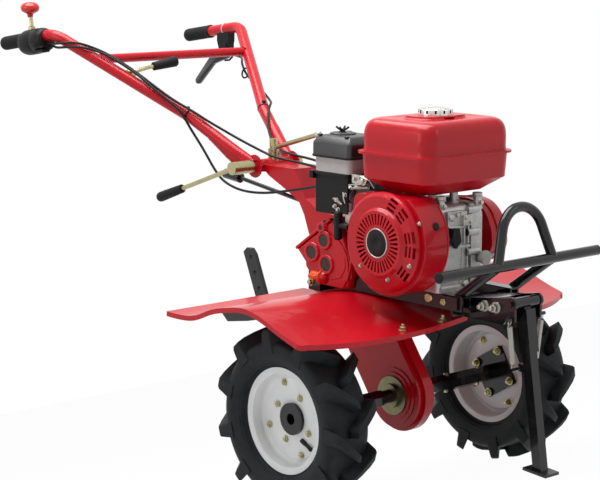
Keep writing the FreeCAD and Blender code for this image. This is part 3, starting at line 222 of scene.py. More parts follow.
RED = finish("red_enamel", (0.50, 0.0015, 0.010), 0.34, coat=0.26, grain=9, bump=0, rough_vary=0.05,
             specular=0.2)
BLACK = finish("black_enamel", (0.0065, 0.0065, 0.007), 0.22, coat=0.45, coat_rough=0.06, vary=0.25,
               grain=40, bump=0.01, bump_size=120, specular=0.18)
WHITE = finish("white_enamel", (0.76, 0.77, 0.77), 0.34, coat=0.4, coat_rough=0.1, vary=0.03, grain=20,
               bump=0.02, bump_size=300, specular=0.4)
RUBBER = finish("tyre_rubber", (0.0125, 0.0145, 0.016), 0.56, vary=0.30, bump=0.30, rough_vary=0.14,
                specular=0.16)
GRIP = finish("grip_rubber", (0.011, 0.0115, 0.012), 0.60, vary=0.2, grain=80, bump=0.2, specular=0.16)
YELLOW_ZINC = finish("yellow_zinc", (0.44, 0.39, 0.20), 0.30, metallic=1.0, grain=50,
                     tint=(0.38, 0.36, 0.21), bump=0.03, bump_size=600)
OLIVE_ZINC = finish("olive_zinc", (0.20, 0.18, 0.10), 0.34, metallic=1.0, vary=0.12, grain=50,
                    tint=(0.16, 0.165, 0.10))
ZINC = finish("pale_zinc", (0.46, 0.455, 0.41), 0.32, metallic=1.0, vary=0.08, grain=120)
STEEL = finish("bright_steel", (0.72, 0.71, 0.69), 0.22, metallic=1.0, grain=90, bump=0.04,
               bump_size=800)
ALLOY = finish("cast_alloy", (0.42, 0.42, 0.41), 0.46, metallic=0.85, vary=0.14, grain=70, bump=0.4,
               rough_vary=0.1)
PLASTIC = finish("black_plastic", (0.008, 0.008, 0.008), 0.44, vary=0.15, bump=0.08, specular=0.16)
GREY = finish("grey_plastic", (0.50, 0.50, 0.49), 0.40, vary=0.05, bump=0.08, bump_size=1200,
              specular=0.35)
ORANGE = finish("orange_plastic", (0.78, 0.085, 0.008), 0.38, vary=0.05, bump=0.08, bump_size=1200,
                specular=0.4)
HEAT = finish("muffler_steel", (0.07, 0.066, 0.062), 0.5, metallic=0.7, vary=0.35, grain=40, bump=0.2,
              bump_size=500, rough_vary=0.15)
CABLE = finish("cable_jacket", (0.009, 0.009, 0.0095), 0.36, vary=0.1, specular=0.2)
KNOB = finish("red_knob", (0.60, 0.012, 0.012), 0.30, coat=0.4, vary=0.04, grain=30, bump=0.02,
              bump_size=400, specular=0.35)
LID = finish("filter_lid", (0.012, 0.012, 0.0115), 0.36, vary=0.12, grain=50, bump_size=700,
             specular=0.6)
PLUG = finish("plug_cap", (0.030, 0.025, 0.016), 0.42, vary=0.2, grain=50, bump_size=500, specular=0.3)

SLOT_MATERIALS = {
    "tyre_rubber": RUBBER, "grip_rubber": GRIP, "red_paint": RED, "white_paint": WHITE,
    "black_paint": BLACK, "zinc_steel": YELLOW_ZINC, "cast_alloy": ALLOY, "black_plastic": PLASTIC,
    "grey_plastic": GREY, "orange_plastic": ORANGE,
}
SLOT_OF = {material.name: slot for slot, material in SLOT_MATERIALS.items()}
for other, like in ((ZINC, YELLOW_ZINC), (OLIVE_ZINC, YELLOW_ZINC), (STEEL, YELLOW_ZINC), (KNOB, RED),
                    (HEAT, BLACK), (LID, PLASTIC), (CABLE, PLASTIC)):
    SLOT_OF[other.name] = SLOT_OF[like.name]
NODE_MATERIALS = {
    "bearing_flanges": OLIVE_ZINC, "fuel_cap": STEEL, "clamp_levers": YELLOW_ZINC, "gear_lever": BLACK,
    "muffler": HEAT, "axle_shaft": BLACK, "stand_springs": ZINC, "gearbox_plugs": PLUG,
}


def dress_nodes():
    """Gives every carried-over node the finish of its slot, or its own."""
    slots = {part["node"]: part["material_slot"] for part in frame["record"]["subparts"]}
    for name, thing in NODES.items():
        material = NODE_MATERIALS.get(name) or SLOT_MATERIALS[slots[name]]
        if not thing.data.materials:
            thing.data.materials.append(material)
        for place in thing.material_slots:
            place.material = material


# ---------------------------------------------------------------- mesh helpers


BEVEL_ANGLE = math.radians(35)


def flat_edges(bm, angle):
    """Smooth faces, with edges sharper than the angle kept crisp."""
    limit = math.radians(angle)
    for face in bm.faces:
        face.smooth = True
    for edge in bm.edges:
        edge.smooth = len(edge.link_faces) == 2 and edge.calc_face_angle(PI) < limit


def add_piece(name, bm, material, body="chassis", bevel=0.0, angle=32.0):
    """Closes a mesh built in level millimetres into a piece that rides on a body, if it has one."""
    bmesh.ops.recalc_face_normals(bm, faces=bm.faces)
    flat_edges(bm, angle)
    mesh = bpy.data.meshes.new(name)
    bm.to_mesh(mesh)
    bm.free()
    mesh.transform(LEVEL)
    piece = bpy.data.objects.new(name, mesh)
    link(piece)
    mesh.materials.append(material)
    if bevel:
        edges = piece.modifiers.new("edges", "BEVEL")
        edges.width = bevel / 1000
        edges.segments = 2
        edges.limit_method = "ANGLE"
        edges.angle_limit = BEVEL_ANGLE
    if body:
        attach(piece, body)
    return piece


def basis(axis):
    """Two directions square to an axis."""
    axis = Vector(axis).normalized()
    other = Vector(UP) if abs(axis.z) < 0.9 else Vector(FORWARD)
    side = axis.cross(other).normalized()
    return axis, side, axis.cross(side)


def around(count, turn=0.0):
    """Cosine and sine of angles evenly spaced round a circle."""
    return [(math.cos(a), math.sin(a)) for a in (2 * PI * k / count + turn for k in range(count))]


def sided(point, side):
    """The left-hand point on either side of the machine."""
    return Vector((point[0], side * abs(point[1]), point[2]))


def add_rings(bm, rings, loop=False):
    """Skins a list of point rings, closing the ends or joining the last ring to the first."""
    rows = [[bm.verts.new(p) for p in ring] for ring in rings]
    count = len(rows[0])
    for a, b in zip(rows, rows[1:] + (rows[:1] if loop else [])):
        for i in range(count):
            j = (i + 1) % count
            bm.faces.new((a[i], a[j], b[j], b[i]))
    if not loop:
        bm.faces.new(reversed(rows[0]))
        bm.faces.new(rows[-1])


def add_lathe(bm, centre, axis, profile, segments=32):
    """Turns a profile of (distance along the axis, radius) into a solid of revolution."""
    axis, side, up = basis(axis)
    centre = Vector(centre)
    add_rings(bm, [[centre + axis * along + radius * (side * c + up * s) for c, s in around(segments)]
            for along, radius in profile])


def add_ring(bm, centre, axis, profile, segments=48):
    """Turns a closed profile of (distance along the axis, radius) into a ring."""
    axis, side, up = basis(axis)
    centre = Vector(centre)
    add_rings(bm, [[centre + axis * along + (side * c + up * s) * radius for along, radius in profile]
            for c, s in around(segments)], loop=True)


def add_bolt(bm, centre, axis, flats=13.0, head=8.0, washer=12.0, thick=1.6, turn=0.0, end=0.0):
    """Hexagon head on a washer, standing out from a face along the axis."""
    centre = Vector(centre)
    axis, side, up = basis(axis)
    if washer:
        add_lathe(bm, centre, axis, [(-0.5, washer - 0.4), (thick - 0.4, washer), (thick, washer - 0.5)], 24)
    base = thick if washer else 0
    corner = flats / math.sqrt(3)
    add_rings(bm, [[centre + axis * along + corner * size * (side * c + up * s) for c, s in around(6, turn)]
            for along, size in ((base - 0.3, 1.0), (base + head - 1.2, 1.0), (base + head, 0.86))])
    if end:
        add_lathe(bm, centre + axis * (base + head - 0.3), axis, [(0, flats * 0.31),
                (end - 1, flats * 0.31), (end, flats * 0.24)], 14)


def add_box(bm, low, high, turn=None, about=None):
    """Box between two corners, turned about a point if asked."""
    x0, y0, z0 = low
    x1, y1, z1 = high
    points = [Vector(p) for p in ((x0, y0, z0), (x1, y0, z0), (x1, y1, z0), (x0, y1, z0), (x0, y0, z1),
            (x1, y0, z1), (x1, y1, z1), (x0, y1, z1))]
    if turn:
        about = Vector(about)
        points = [about + turn @ (p - about) for p in points]
    v = [bm.verts.new(p) for p in points]
    for f in ((0, 3, 2, 1), (4, 5, 6, 7), (0, 1, 5, 4), (1, 2, 6, 5), (2, 3, 7, 6), (3, 0, 4, 7)):
        bm.faces.new([v[i] for i in f])


def add_boxes(bm, *boxes):
    """Plain boxes, each given as a low and a high corner."""
    for low, high in boxes:
        add_box(bm, low, high)


def along_path(points, radius, segments):
    """Rings of a round bar carried along points without twisting."""
    points = [Vector(p) for p in points]
    tangents = []
    for i in range(len(points)):
        a, b = points[max(i - 1, 0)], points[min(i + 1, len(points) - 1)]
        tangents.append((b - a).normalized())
    _, side, _ = basis(tangents[0])
    rings = []
    for point, tangent in zip(points, tangents):
        side = (side - tangent * side.dot(tangent)).normalized()
        up = tangent.cross(side)
        rings.append([point + radius * (side * c + up * s) for c, s in around(segments)])
    return rings


def add_bar(bm, points, radius, segments=12):
    """Round bar along points."""
    add_rings(bm, along_path(points, radius, segments))


def add_plate(bm, outline, y0, y1):
    """Outline of (x, z) points, carried across the machine."""
    add_rings(bm, [[Vector((x, y, z)) for x, z in outline] for y in (y0, y1)])


# ---------------------------------------------------------------- tyres
TRACK_HALF = 310.0
LUGS = 11
LUG_SWEEP = 14.0
TYRE_HALF = [(30, 103.5), (34.0, 106), (34.6, 112), (35.6, 117.5), (40, 120.5), (45, 122), (46.5, 125),
             (48.5, 126), (52, 133), (55, 142), (55.8, 151), (54.5, 160), (51, 166), (44, 170),
             (30, 172.5), (12, 173.5), (0, 173.7)]
LUG_STATIONS = [(57.5, 188.0, 17.0, 10.5), (55.0, 193.5, 17.0, 11.5), (42.0, 197.5, 16.0, 11.5),
                (22.0, 200.5, 14.5, 10.5), (4.0, 202.2, 13.5, 9.5), (-6.0, 200.0, 13.0, 8.5),
                (-11.0, 184.0, 12.0, 6.0)]
TREAD_HALF = 57.5
SHOULDER_ROOT = 146.0
TREAD_ROOT = 166.0
LUG_FIRST = {-1: (1.2, 17.5), 1: (8.0, 24.6)}   # outboard and inboard rows, degrees


def make_tyre(side):
    """Open-centre lug tyre: carcass with its beads and two staggered rows of bars."""
    bm = bmesh.new()
    centre = side * TRACK_HALF
    profile = TYRE_HALF + [(-o, r) for o, r in reversed(TYRE_HALF[:-1])]
    add_rings(bm, [[Vector((r * c, centre + side * o, r * s)) for o, r in profile] for c, s in around(96)],
            loop=True)
    for row, first in zip((1, -1), LUG_FIRST[side]):
        for k in range(LUGS):
            shoulder = first + 360 / LUGS * k
            rings = []
            for offset, top, foot, crest in LUG_STATIONS:
                a = math.radians(shoulder - LUG_SWEEP * (TREAD_HALF - offset) / TREAD_HALF)
                y = centre + side * row * offset
                low = SHOULDER_ROOT if offset > 50 else TREAD_ROOT
                ring = []
                for reach, width in ((low, -foot), (top - 2, -crest), (top, -crest + 2), (top, crest - 2),
                        (top - 2, crest), (low, foot)):
                    b = a + width / reach
                    ring.append(Vector((reach * math.cos(b), y, reach * math.sin(b))))
                rings.append(ring)
            add_rings(bm, rings)
    name = "left" if side > 0 else "right"
    piece = add_piece("tyre_lugs_" + name, bm, RUBBER, "wheels", angle=30)
    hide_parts("tyre_" + name)


# ---------------------------------------------------------------- cables
ROUTES = {
    "throttle_cable": [(-919.5, -294, 740), (-885, -298, 741), (-858, -297, 744), (-827, -271, 747),
                       (-800, -235, 732), (-770, -213, 715.5), (-739, -193, 694.5), (-705, -175, 671),
                       (-660, -162, 643.5), (-617, -144, 615), (-573, -118, 589), (-545, -104, 571),
                       (-520, -84, 553), (-474, -60, 527), (-421, -38, 503), (-385, -34, 493),
                       (-315, -26, 487), (-245, -32, 484), (-160.8, -58, 482)],
    "stop_cable": [(-916.8, -279.5, 737), (-885, -292, 732), (-854, -293, 734), (-822, -274, 737),
                   (-796, -244, 730), (-765, -222.5, 715), (-734, -202, 694.5), (-700.5, -183, 671),
                   (-658, -169.5, 640), (-617, -151, 609), (-592, -139, 586), (-578, -128, 554),
                   (-563, -119, 528), (-539, -114, 498), (-511, -110, 461), (-489, -104, 436),
                   (-457, -97, 421), (-418, -88, 413.5), (-364, -80, 415), (-302, -72, 425.5),
                   (-240, -68, 438), (-195, -70, 448), (-160.3, -74, 455)],
    "clutch_cable": [(-934.4, 289, 690), (-885, 286, 686), (-830, 246, 684), (-790, 210, 676),
                     (-748, 190, 650), (-700, 192, 622), (-650, 177, 601), (-614, 157, 592),
                     (-586, 132, 595), (-560, 102, 582), (-541, 81, 558), (-520, 68, 531),
                     (-493, 58, 507), (-452, 48, 495), (-402, 41, 490), (-345, 38, 488),
                     (-300, 52, 478), (-262, 82, 448), (-230, 96, 404)],
}
CABLE_R = 3.0


def make_cable(name, route):
    """Jacketed control cable along its route, held at the handlebar and at the engine."""
    data = bpy.data.curves.new(name + "_jacket", "CURVE")
    data.dimensions = "3D"
    data.bevel_depth = CABLE_R / 1000
    data.bevel_resolution = 3
    data.resolution_u = 8
    data.use_fill_caps = True
    spline = data.splines.new("NURBS")
    spline.points.add(len(route) - 1)
    for point, place in zip(spline.points, route):
        point.co = (*at(*place), 1)
    spline.order_u = 3
    spline.use_endpoint_u = True
    curve = bpy.data.objects.new(name + "_curve", data)
    link(curve)
    bpy.context.view_layer.update()
    mesh = bpy.data.meshes.new_from_object(curve.evaluated_get(bpy.context.evaluated_depsgraph_get()))
    bpy.data.objects.remove(curve)
    piece = bpy.data.objects.new(name + "_jacket", mesh)
    link(piece)
    mesh.materials.clear()
    mesh.materials.append(CABLE)
    for face in mesh.polygons:
        face.use_smooth = True
    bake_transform(piece)
    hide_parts(name)


# ---------------------------------------------------------------- stand springs
SPRING_TOP = (358.0, 50.0, 230.0)
SPRING_LOW = (357.0, 34.0, 124.0)
SPRING_R = 5.0
SPRING_WIRE = 0.95
SPRING_TURNS = 38
HOOK_R = 5.4
HOOK_LENGTH = 14.0


def make_springs():
    """Two close-wound extension springs with a hook at each end."""
    for side, name in ((-1, "right"), (1, "left")):
        bm = bmesh.new()
        top, low = sided(SPRING_TOP, side), sided(SPRING_LOW, side)
        axis, a, b = basis(low - top)
        length = (low - top).length
        start, stop = HOOK_LENGTH, length - HOOK_LENGTH
        points = []
        for k in range(7):
            angle = PI * (0.5 + 1.5 * k / 6)
            points.append(top + axis * (5 + HOOK_R * math.cos(angle + PI)) + a * HOOK_R * math.sin(angle))
        for k in range(SPRING_TURNS * 12 + 1):
            angle = 2 * PI * k / 12
            step = start + (stop - start) * k / (SPRING_TURNS * 12)
            points.append(top + axis * step + SPRING_R * (a * math.cos(angle) + b * math.sin(angle)))
        for k in range(7):
            angle = PI * (1.5 * k / 6)
            points.append(low - axis * (5 - HOOK_R * math.cos(angle + PI)) + a * HOOK_R * math.sin(angle))
        add_bar(bm, points, SPRING_WIRE, 6)
        piece = add_piece("spring_" + name, bm, ZINC, None, angle=80)
        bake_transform(piece)
        if side < 0:
            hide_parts("stand_springs")


# ---------------------------------------------------------------- wheel bolts
RIM_FACE = 315.5
RIM_BACK = 312.2
HUB_BACK = 302.4
HUB_TURN = {-1: 65.0, 1: 76.0}
HUB_BOLT_CIRCLE = 53.0
RIM_BOLT_CIRCLE = 78.0


def make_wheel_fasteners():
    """Bolts of the rim halves and hubs, the valve stems and the pins of the hub tubes."""
    bm = bmesh.new()
    for side in (-1, 1):
        for circle, turn, back in ((HUB_BOLT_CIRCLE, 0, HUB_BACK), (RIM_BOLT_CIRCLE, 45, RIM_BACK)):
            for k in range(4):
                a = math.radians(HUB_TURN[side] + turn + 90 * k)
                x, z = circle * math.cos(a), circle * math.sin(a)
                add_bolt(bm, (x, side * RIM_FACE, z), (0, side, 0), flats=13, head=5, washer=0,
                        turn=a * 1.7, end=3)
                add_bolt(bm, (x, side * back, z), (0, -side, 0), flats=13, head=7, washer=10, thick=1.2,
                        turn=a * 2.3, end=4)
        for y in (145, 248):
            for up in (1, -1):
                add_bolt(bm, (0, side * y, 17 * up), (0, 0, up), flats=10, head=5, washer=0)
    add_piece("wheel_bolts", bm, YELLOW_ZINC, "wheels")
    bm = bmesh.new()
    for side in (-1, 1):
        turn = math.radians(-47 if side < 0 else 130)
        axis = Vector((math.cos(turn) * 0.9, side * 0.05, math.sin(turn) * 0.35)).normalized()
        root = Vector((52 * math.cos(turn), side * 318, 60 * math.sin(turn)))
        add_lathe(bm, root, axis, [(-8, 5), (4, 5), (8, 4), (20, 4), (21, 4.6), (27, 4.6), (28, 4)], 14)
    add_piece("valve_stems", bm, PLASTIC, "wheels")


# ---------------------------------------------------------------- handlebar
ARM_CREST = Vector((-890.0, 289.0, 764.0))
ARM_END = Vector((-1115.0, 289.0, 731.5))
ARM_KNEE = Vector((-593.0, 115.0, 577.0))
ARM_ROOT = Vector((-445.0, 62.0, 478.0))
ARM_R = 14.0
ARM_BEND = 70.0
CROSSBAR_AT = 0.69
DISC_AT = (-425, 470)
DISC_R = 27.0
DISC_ROOT_R = 24.6
DISC_TEETH = 24
GRIP_TIP = -1107.5


def on_arm(side, x):
    """Point on the straight upper run of an arm, and its forward direction."""
    end, crest = sided(ARM_END, side), sided(ARM_CREST, side)
    way = (crest - end).normalized()
    return end + way * ((x - end.x) / way.x), way


def corner_arc(before, corner, after, radius, count, reach=math.inf):
    """Arc in place of a corner, starting at most the given reach away from it."""
    a, b = (before - corner).normalized(), (after - corner).normalized()
    half = a.angle(b) / 2
    reach = min(radius / math.tan(half), reach)
    centre = corner + (a + b).normalized() * (reach * math.tan(half) / math.sin(half))
    first, last = corner + a * reach - centre, corner + b * reach - centre
    whole = first.angle(last)
    return [centre + (first * math.sin((1 - t) * whole) + last * math.sin(t * whole)) / math.sin(whole)
            for t in (k / count for k in range(count + 1))]


def bent_line(points, radius, count=8):
    """Polyline with each inner corner replaced by an arc."""
    points = [Vector(p) for p in points]
    line = [points[0]]
    for before, corner, after in zip(points, points[1:], points[2:]):
        line += corner_arc(before, corner, after, radius, count)
    return line + [points[-1]]


def make_handle_tubes():
    """Bent handle tubes, with the weld beads where the cross tube meets them."""
    for side, name in ((-1, "right"), (1, "left")):
        bm = bmesh.new()
        tip, _ = on_arm(side, GRIP_TIP)
        points = [sided(p, side) for p in (ARM_ROOT, ARM_KNEE, ARM_CREST)] + [tip]
        add_bar(bm, bent_line(points, ARM_BEND), ARM_R, 28)
        piece = add_piece("arm_tube_" + name, bm, RED, "handlebar", angle=60)
        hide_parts("handle_tube_" + name)
    bm = bmesh.new()
    for side in (-1, 1):
        place = sided(ARM_KNEE, side).lerp(sided(ARM_CREST, side), CROSSBAR_AT)
        weld = place + Vector((0, -side * 11.5, 0))
        points = [weld + Vector((12.4 * math.cos(a), -side * 1.5 + side * 2.2 * math.cos(2 * a),
                12.4 * math.sin(a))) for a in (2 * PI * k / 28 for k in range(29))]
        add_bar(bm, points, 1.9, 8)
    add_piece("arm_welds", bm, RED, "handlebar", angle=60)


def make_grips():
    """Ribbed rubber grips with a rounded end and a collar."""
    bm = bmesh.new()
    for side, length in ((-1, 96.0), (1, 104.0)):
        end, way = on_arm(side, GRIP_TIP)
        profile = [(-4.0, 7.0), (-3.6, 11.0), (-2.0, 14.5), (1.0, 16.6), (6.0, 17.0)]
        along = 10.0
        while along < length - 16:
            profile += [(along, 17.0), (along + 0.7, 16.2), (along + 1.6, 16.2), (along + 2.3, 17.0)]
            along += 4.2
        profile += [(length - 12, 17.0), (length - 11, 17.4), (length - 5.4, 17.4), (length - 4.2, 16.4),
                (length - 4.0, 14.3)]
        add_lathe(bm, end, way, profile, 36)
    piece = add_piece("grip_sleeves", bm, GRIP, "handlebar", angle=40)
    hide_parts("grip_left", "grip_right")


HOUSING_DROP = 9.0


def make_switch_housing():
    """Switch and throttle housing inboard of the right grip: two shells, screws, knob and stem."""
    start, way = on_arm(-1, -1018.0)
    start = start - Vector((0, 0, HOUSING_DROP))
    bm = bmesh.new()
    add_lathe(bm, start, way, [(0, 14), (0.8, 20), (3, 24.5), (8, 28.6), (16, 30.6), (24, 31.0), (54, 31.0),
            (55, 30.6), (55.6, 29.6), (57.4, 29.6), (58, 30.4), (59, 30.8), (80, 30.0), (90, 27.6),
            (95, 24), (97.4, 18)], 48)
    for along, out in ((18, (0, -0.86, 0.5)), (76, (0, -0.9, -0.42)), (76, (0, -0.5, 0.86))):
        out = Vector(out).normalized()
        add_lathe(bm, start + way * along + out * 27, out, [(0, 6.2), (3.0, 6.2), (3.6, 5.6), (3.6, 4.2),
                (2.2, 4.0)], 20)
    turn = Matrix.Rotation(-0.16, 3, "Y")
    corner = start + way * 78
    add_box(bm, corner + Vector((-12, -24, -31)), corner + Vector((26, -2, -24)), turn, corner)
    add_box(bm, corner + Vector((10, -22, -20)), corner + Vector((27, -8, -15)), turn, corner)
    add_piece("switch_housing", bm, PLASTIC, "handlebar", bevel=0.9)
    middle = start + way * 29.2
    knob = Vector((middle.x - 5.4, middle.y, 0))
    bm = bmesh.new()
    add_bar(bm, [(middle.x + 1, middle.y, 771), (middle.x, middle.y, 784), (knob.x, knob.y, 813)], 4.6, 20)
    add_lathe(bm, (middle.x + 1, middle.y, 770), UP, [(0, 9), (8, 8.4), (9.5, 6.6), (10, 5)], 24)
    add_piece("throttle_stem", bm, YELLOW_ZINC, "handlebar", angle=40)
    bm = bmesh.new()
    add_lathe(bm, (knob.x, knob.y, 0), UP, [(800.5, 5.4), (801.2, 6.6), (806, 7.0), (809.5, 8.6),
            (811.6, 13.5), (814.2, 18.4), (818, 21.8), (822.6, 23.0), (827.4, 22.4), (831.6, 20.0),
            (835, 15.4), (837.2, 9.4), (838, 2.5)], 40)
    piece = add_piece("throttle_knob", bm, KNOB, "handlebar", angle=50)
    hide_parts("throttle_box")


def make_clutch_mount():
    """Lug under the left arm that carries the clutch lever, with its clamp band and lock loop."""
    bm = bmesh.new()
    add_plate(bm, [(-972, 748), (-973, 724), (-966, 704), (-955, 700), (-938, 700), (-931, 707),
            (-926, 726), (-925, 752)], 278, 300)
    for y in (278, 300):
        out = -1 if y == 278 else 1
        add_lathe(bm, (-940, y, 711), (0, out, 0), [(-1, 8), (3, 8), (3.6, 7.2)], 24)
    loop = [(-952, 300, 700), (-962, 304, 692), (-978, 304, 683), (-980, 304, 676), (-968, 303, 671),
            (-950, 302, 673), (-936, 300, 682), (-930, 298, 694)]
    add_bar(bm, loop, 2.6, 12)
    piece = add_piece("clutch_lug", bm, PLASTIC, "handlebar", bevel=2.0)
    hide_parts("clutch_bracket")
    bm = bmesh.new()
    place, way = on_arm(1, -950)
    add_ring(bm, place, way, [(-2.2, 13.9), (-2.2, 14.6), (-1.8, 15.0), (1.8, 15.0), (2.2, 14.6),
            (2.2, 13.9)], 40)
    add_box(bm, place + Vector((-2.4, -5, -18)), place + Vector((2.4, 5, -12)))
    add_piece("clutch_bands", bm, ZINC, "handlebar", bevel=0.4)


def make_lock_lever():
    """Selector lever on the right arm: bushing, bent stem and tapered grip."""
    bm = bmesh.new()
    base, top = Vector((-736, -200, 664)), Vector((-738, -168, 675))
    axis = (top - base).normalized()
    add_lathe(bm, base + axis * 13, axis, [(0, 12), (0.8, 13), (14, 13), (15, 12), (15, 9.5), (21, 9.5)], 28)
    add_bar(bm, [(-738, -172, 674), (-739, -150, 680), (-741, -126, 684), (-742, -100, 687)], 4.8, 18)
    piece = add_piece("lock_stem", bm, YELLOW_ZINC, "handlebar", angle=40)
    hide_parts("lock_lever")
    bm = bmesh.new()
    start, end = Vector((-742, -108, 686)), Vector((-742, -38, 696))
    add_lathe(bm, start, end - start, [(0, 6), (0.3, 8.6), (1.6, 10.2), (62, 12.9), (67, 13.0),
            (69.6, 11.6), (70.7, 8.5), (70.7, 2)], 32)
    add_piece("lock_grip", bm, GRIP, "handlebar", angle=50)


def make_arm_roots():
    """Flared lower ends of the arms, their toothed discs and the cable ties."""
    bm = bmesh.new()
    for side in (-1, 1):
        root, knee = sided(ARM_ROOT, side), sided(ARM_KNEE, side)
        way = (knee - root).normalized()
        across = way.cross(Vector(UP)).normalized()
        up = across.cross(way)
        if up.z < 0:
            up = -up
        rings = []
        for along, half, tall, low in ((-12, 12, 17, 20), (6, 13.2, 17.5, 25), (26, 14.2, 16.5, 26.5),
                (50, 14.9, 15.6, 24.5), (76, 15.1, 15.0, 20.5), (98, 15.1, 14.8, 16.8),
                (112, 15.0, 14.8, 15.2), (113, 13.6, 13.4, 13.6)):
            middle = root + way * along
            rings.append([middle + across * half * c + up * s * (tall if s > 0 else low)
                    for c, s in around(28)])
        add_rings(bm, rings)
    add_piece("arm_flares", bm, RED, "handlebar", angle=40)
    bm = bmesh.new()
    for side in (-1, 1):
        rings = []
        for y, share in ((55.6, 0.97), (56.2, 1.0), (59.4, 1.0), (60, 0.97)):
            radii = [DISC_ROOT_R * share, DISC_R * share, DISC_R * share] * DISC_TEETH
            rings.append([Vector((DISC_AT[0] + radius * c, side * y, DISC_AT[1] + radius * s))
                    for radius, (c, s) in zip(radii, around(3 * DISC_TEETH))])
        add_rings(bm, rings)
    add_piece("tooth_discs", bm, RED, "handlebar", angle=30)
    bm = bmesh.new()
    for side in (-1, 1):
        crest, knee = sided(ARM_CREST, side), sided(ARM_KNEE, side)
        way = (crest - knee).normalized()
        place = knee + way * 6
        add_ring(bm, place, way, [(-2.2, 13.8), (-2.2, 15.0), (2.2, 15.0), (2.2, 13.8)], 40)
        add_box(bm, place + Vector((-4, -3, 14.0)), place + Vector((4, 4, 20.5)))
    add_piece("cable_ties", bm, PLASTIC, "handlebar", bevel=0.4)


def make_cable_ring():
    """Loop of the cable guide on the left arm."""
    bm = bmesh.new()
    centre = Vector((-752, 190, 655))
    points = [centre + Vector((12 * math.cos(a), 3 * math.sin(a), 12 * math.sin(a)))
            for a in (2 * PI * k / 24 for k in range(23))]
    add_bar(bm, points, 2.2, 10)
    add_piece("cable_guide", bm, PLASTIC, "handlebar", angle=50)


# ---------------------------------------------------------------- engine
CRANK = Vector((119.0, 0.0, 373.0))
SHROUD_R = 112.0


def rounded_loop(x0, x1, y0, y1, radius, z, count=6):
    """Points of a level rectangle with rounded corners."""
    loop = []
    for cx, cy, start in ((x1 - radius, y1 - radius, 0), (x0 + radius, y1 - radius, 90),
            (x0 + radius, y0 + radius, 180), (x1 - radius, y0 + radius, 270)):
        for k in range(count + 1):
            a = math.radians(start + 90 * k / count)
            loop.append(Vector((cx + radius * math.cos(a), cy + radius * math.sin(a), z)))
    return loop


def add_band(bm, x0, x1, y0, y1, radius, levels):
    """Solid slab with rounded corners; levels are (height, inset)."""
    add_rings(bm, [rounded_loop(x0 + i, x1 - i, y0 + i, y1 - i, max(radius - i, 1), z) for z, i in levels])


def add_coil(bm, start, end, radius, wire, turns):
    """Small wound spring between two points."""
    start = Vector(start)
    axis, a, b = basis(Vector(end) - start)
    length = (Vector(end) - start).length
    add_bar(bm, [start + axis * length * k / (turns * 10) + radius * (a * math.cos(PI * k / 5) +
            b * math.sin(PI * k / 5)) for k in range(turns * 10 + 1)], wire, 6)


def make_filter_trim():
    """Rims, raised disc, wing nut and clips of the air filter."""
    bm = bmesh.new()
    add_band(bm, -167.6, -40.4, -119.6, -0.4, 15, [(522.4, 0.8), (523.2, 0), (527, 0), (527.8, 1.2)])
    add_band(bm, -164, -50, -116, -5, 9, [(484, 1), (485, 0), (489.6, 0), (490.4, 0.8)])
    add_boxes(bm, ((-169, -119, 474), (-157, -107, 491)), ((-169.5, -90, 508), (-166, -78, 540)),
            ((-169.5, -42, 508), (-166, -30, 540)))
    add_piece("filter_trim", bm, PLASTIC, bevel=0.5)
    bm = bmesh.new()
    add_band(bm, -166, -42, -118, -2, 14, [(522.4, 0), (551, 0), (555, 1.2), (565, 10), (568.6, 14.5),
            (569.6, 18), (569.8, 30)])
    piece = add_piece("filter_cover", bm, LID, angle=50)
    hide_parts("air_filter_lid")
    bm = bmesh.new()
    add_lathe(bm, (-124, -60, 569), UP, [(-1, 29), (2.6, 29), (3.8, 27.8), (4.0, 22), (3.0, 21), (3.0, 11),
            (4.2, 10), (4.4, 4)], 48)
    for x, y in ((-150, -104), (-66, -104), (-150, -18), (-66, -18)):
        add_box(bm, (x - 5, y - 4, 568), (x + 5, y + 4, 571.4))
    add_piece("filter_disc", bm, LID, bevel=0.5)
    bm = bmesh.new()
    hub = Vector((-126, -60, 573))
    add_lathe(bm, hub, UP, [(0, 7.5), (2, 7.5), (3, 6), (7, 5.4), (8, 3.5)], 20)
    for k in range(4):
        a = math.radians(25 + 90 * k)
        out = Vector((math.cos(a), math.sin(a), 0))
        add_bar(bm, [hub + out * 2 + Vector((0, 0, 4)), hub + out * 8 + Vector((0, 0, 7)),
                hub + out * 15 + Vector((0, 0, 12))], 2.4, 8)
    add_piece("filter_wing_nut", bm, PLASTIC, bevel=0.4, angle=50)
    bm = bmesh.new()
    add_bar(bm, [(-112, -94, 380), (-96, -94, 377), (-78, -93, 373), (-58, -92, 370)], 7.4, 18)
    add_ring(bm, (-94, -94, 376.6), (1, 0, -0.2), [(-3, 7), (-3, 9), (3, 9), (3, 7)], 24)
    add_piece("breather_hose", bm, GRIP, angle=50)


LINKAGE_SHIFT = (14, 0, 6)    # to its seat beside the carburettor


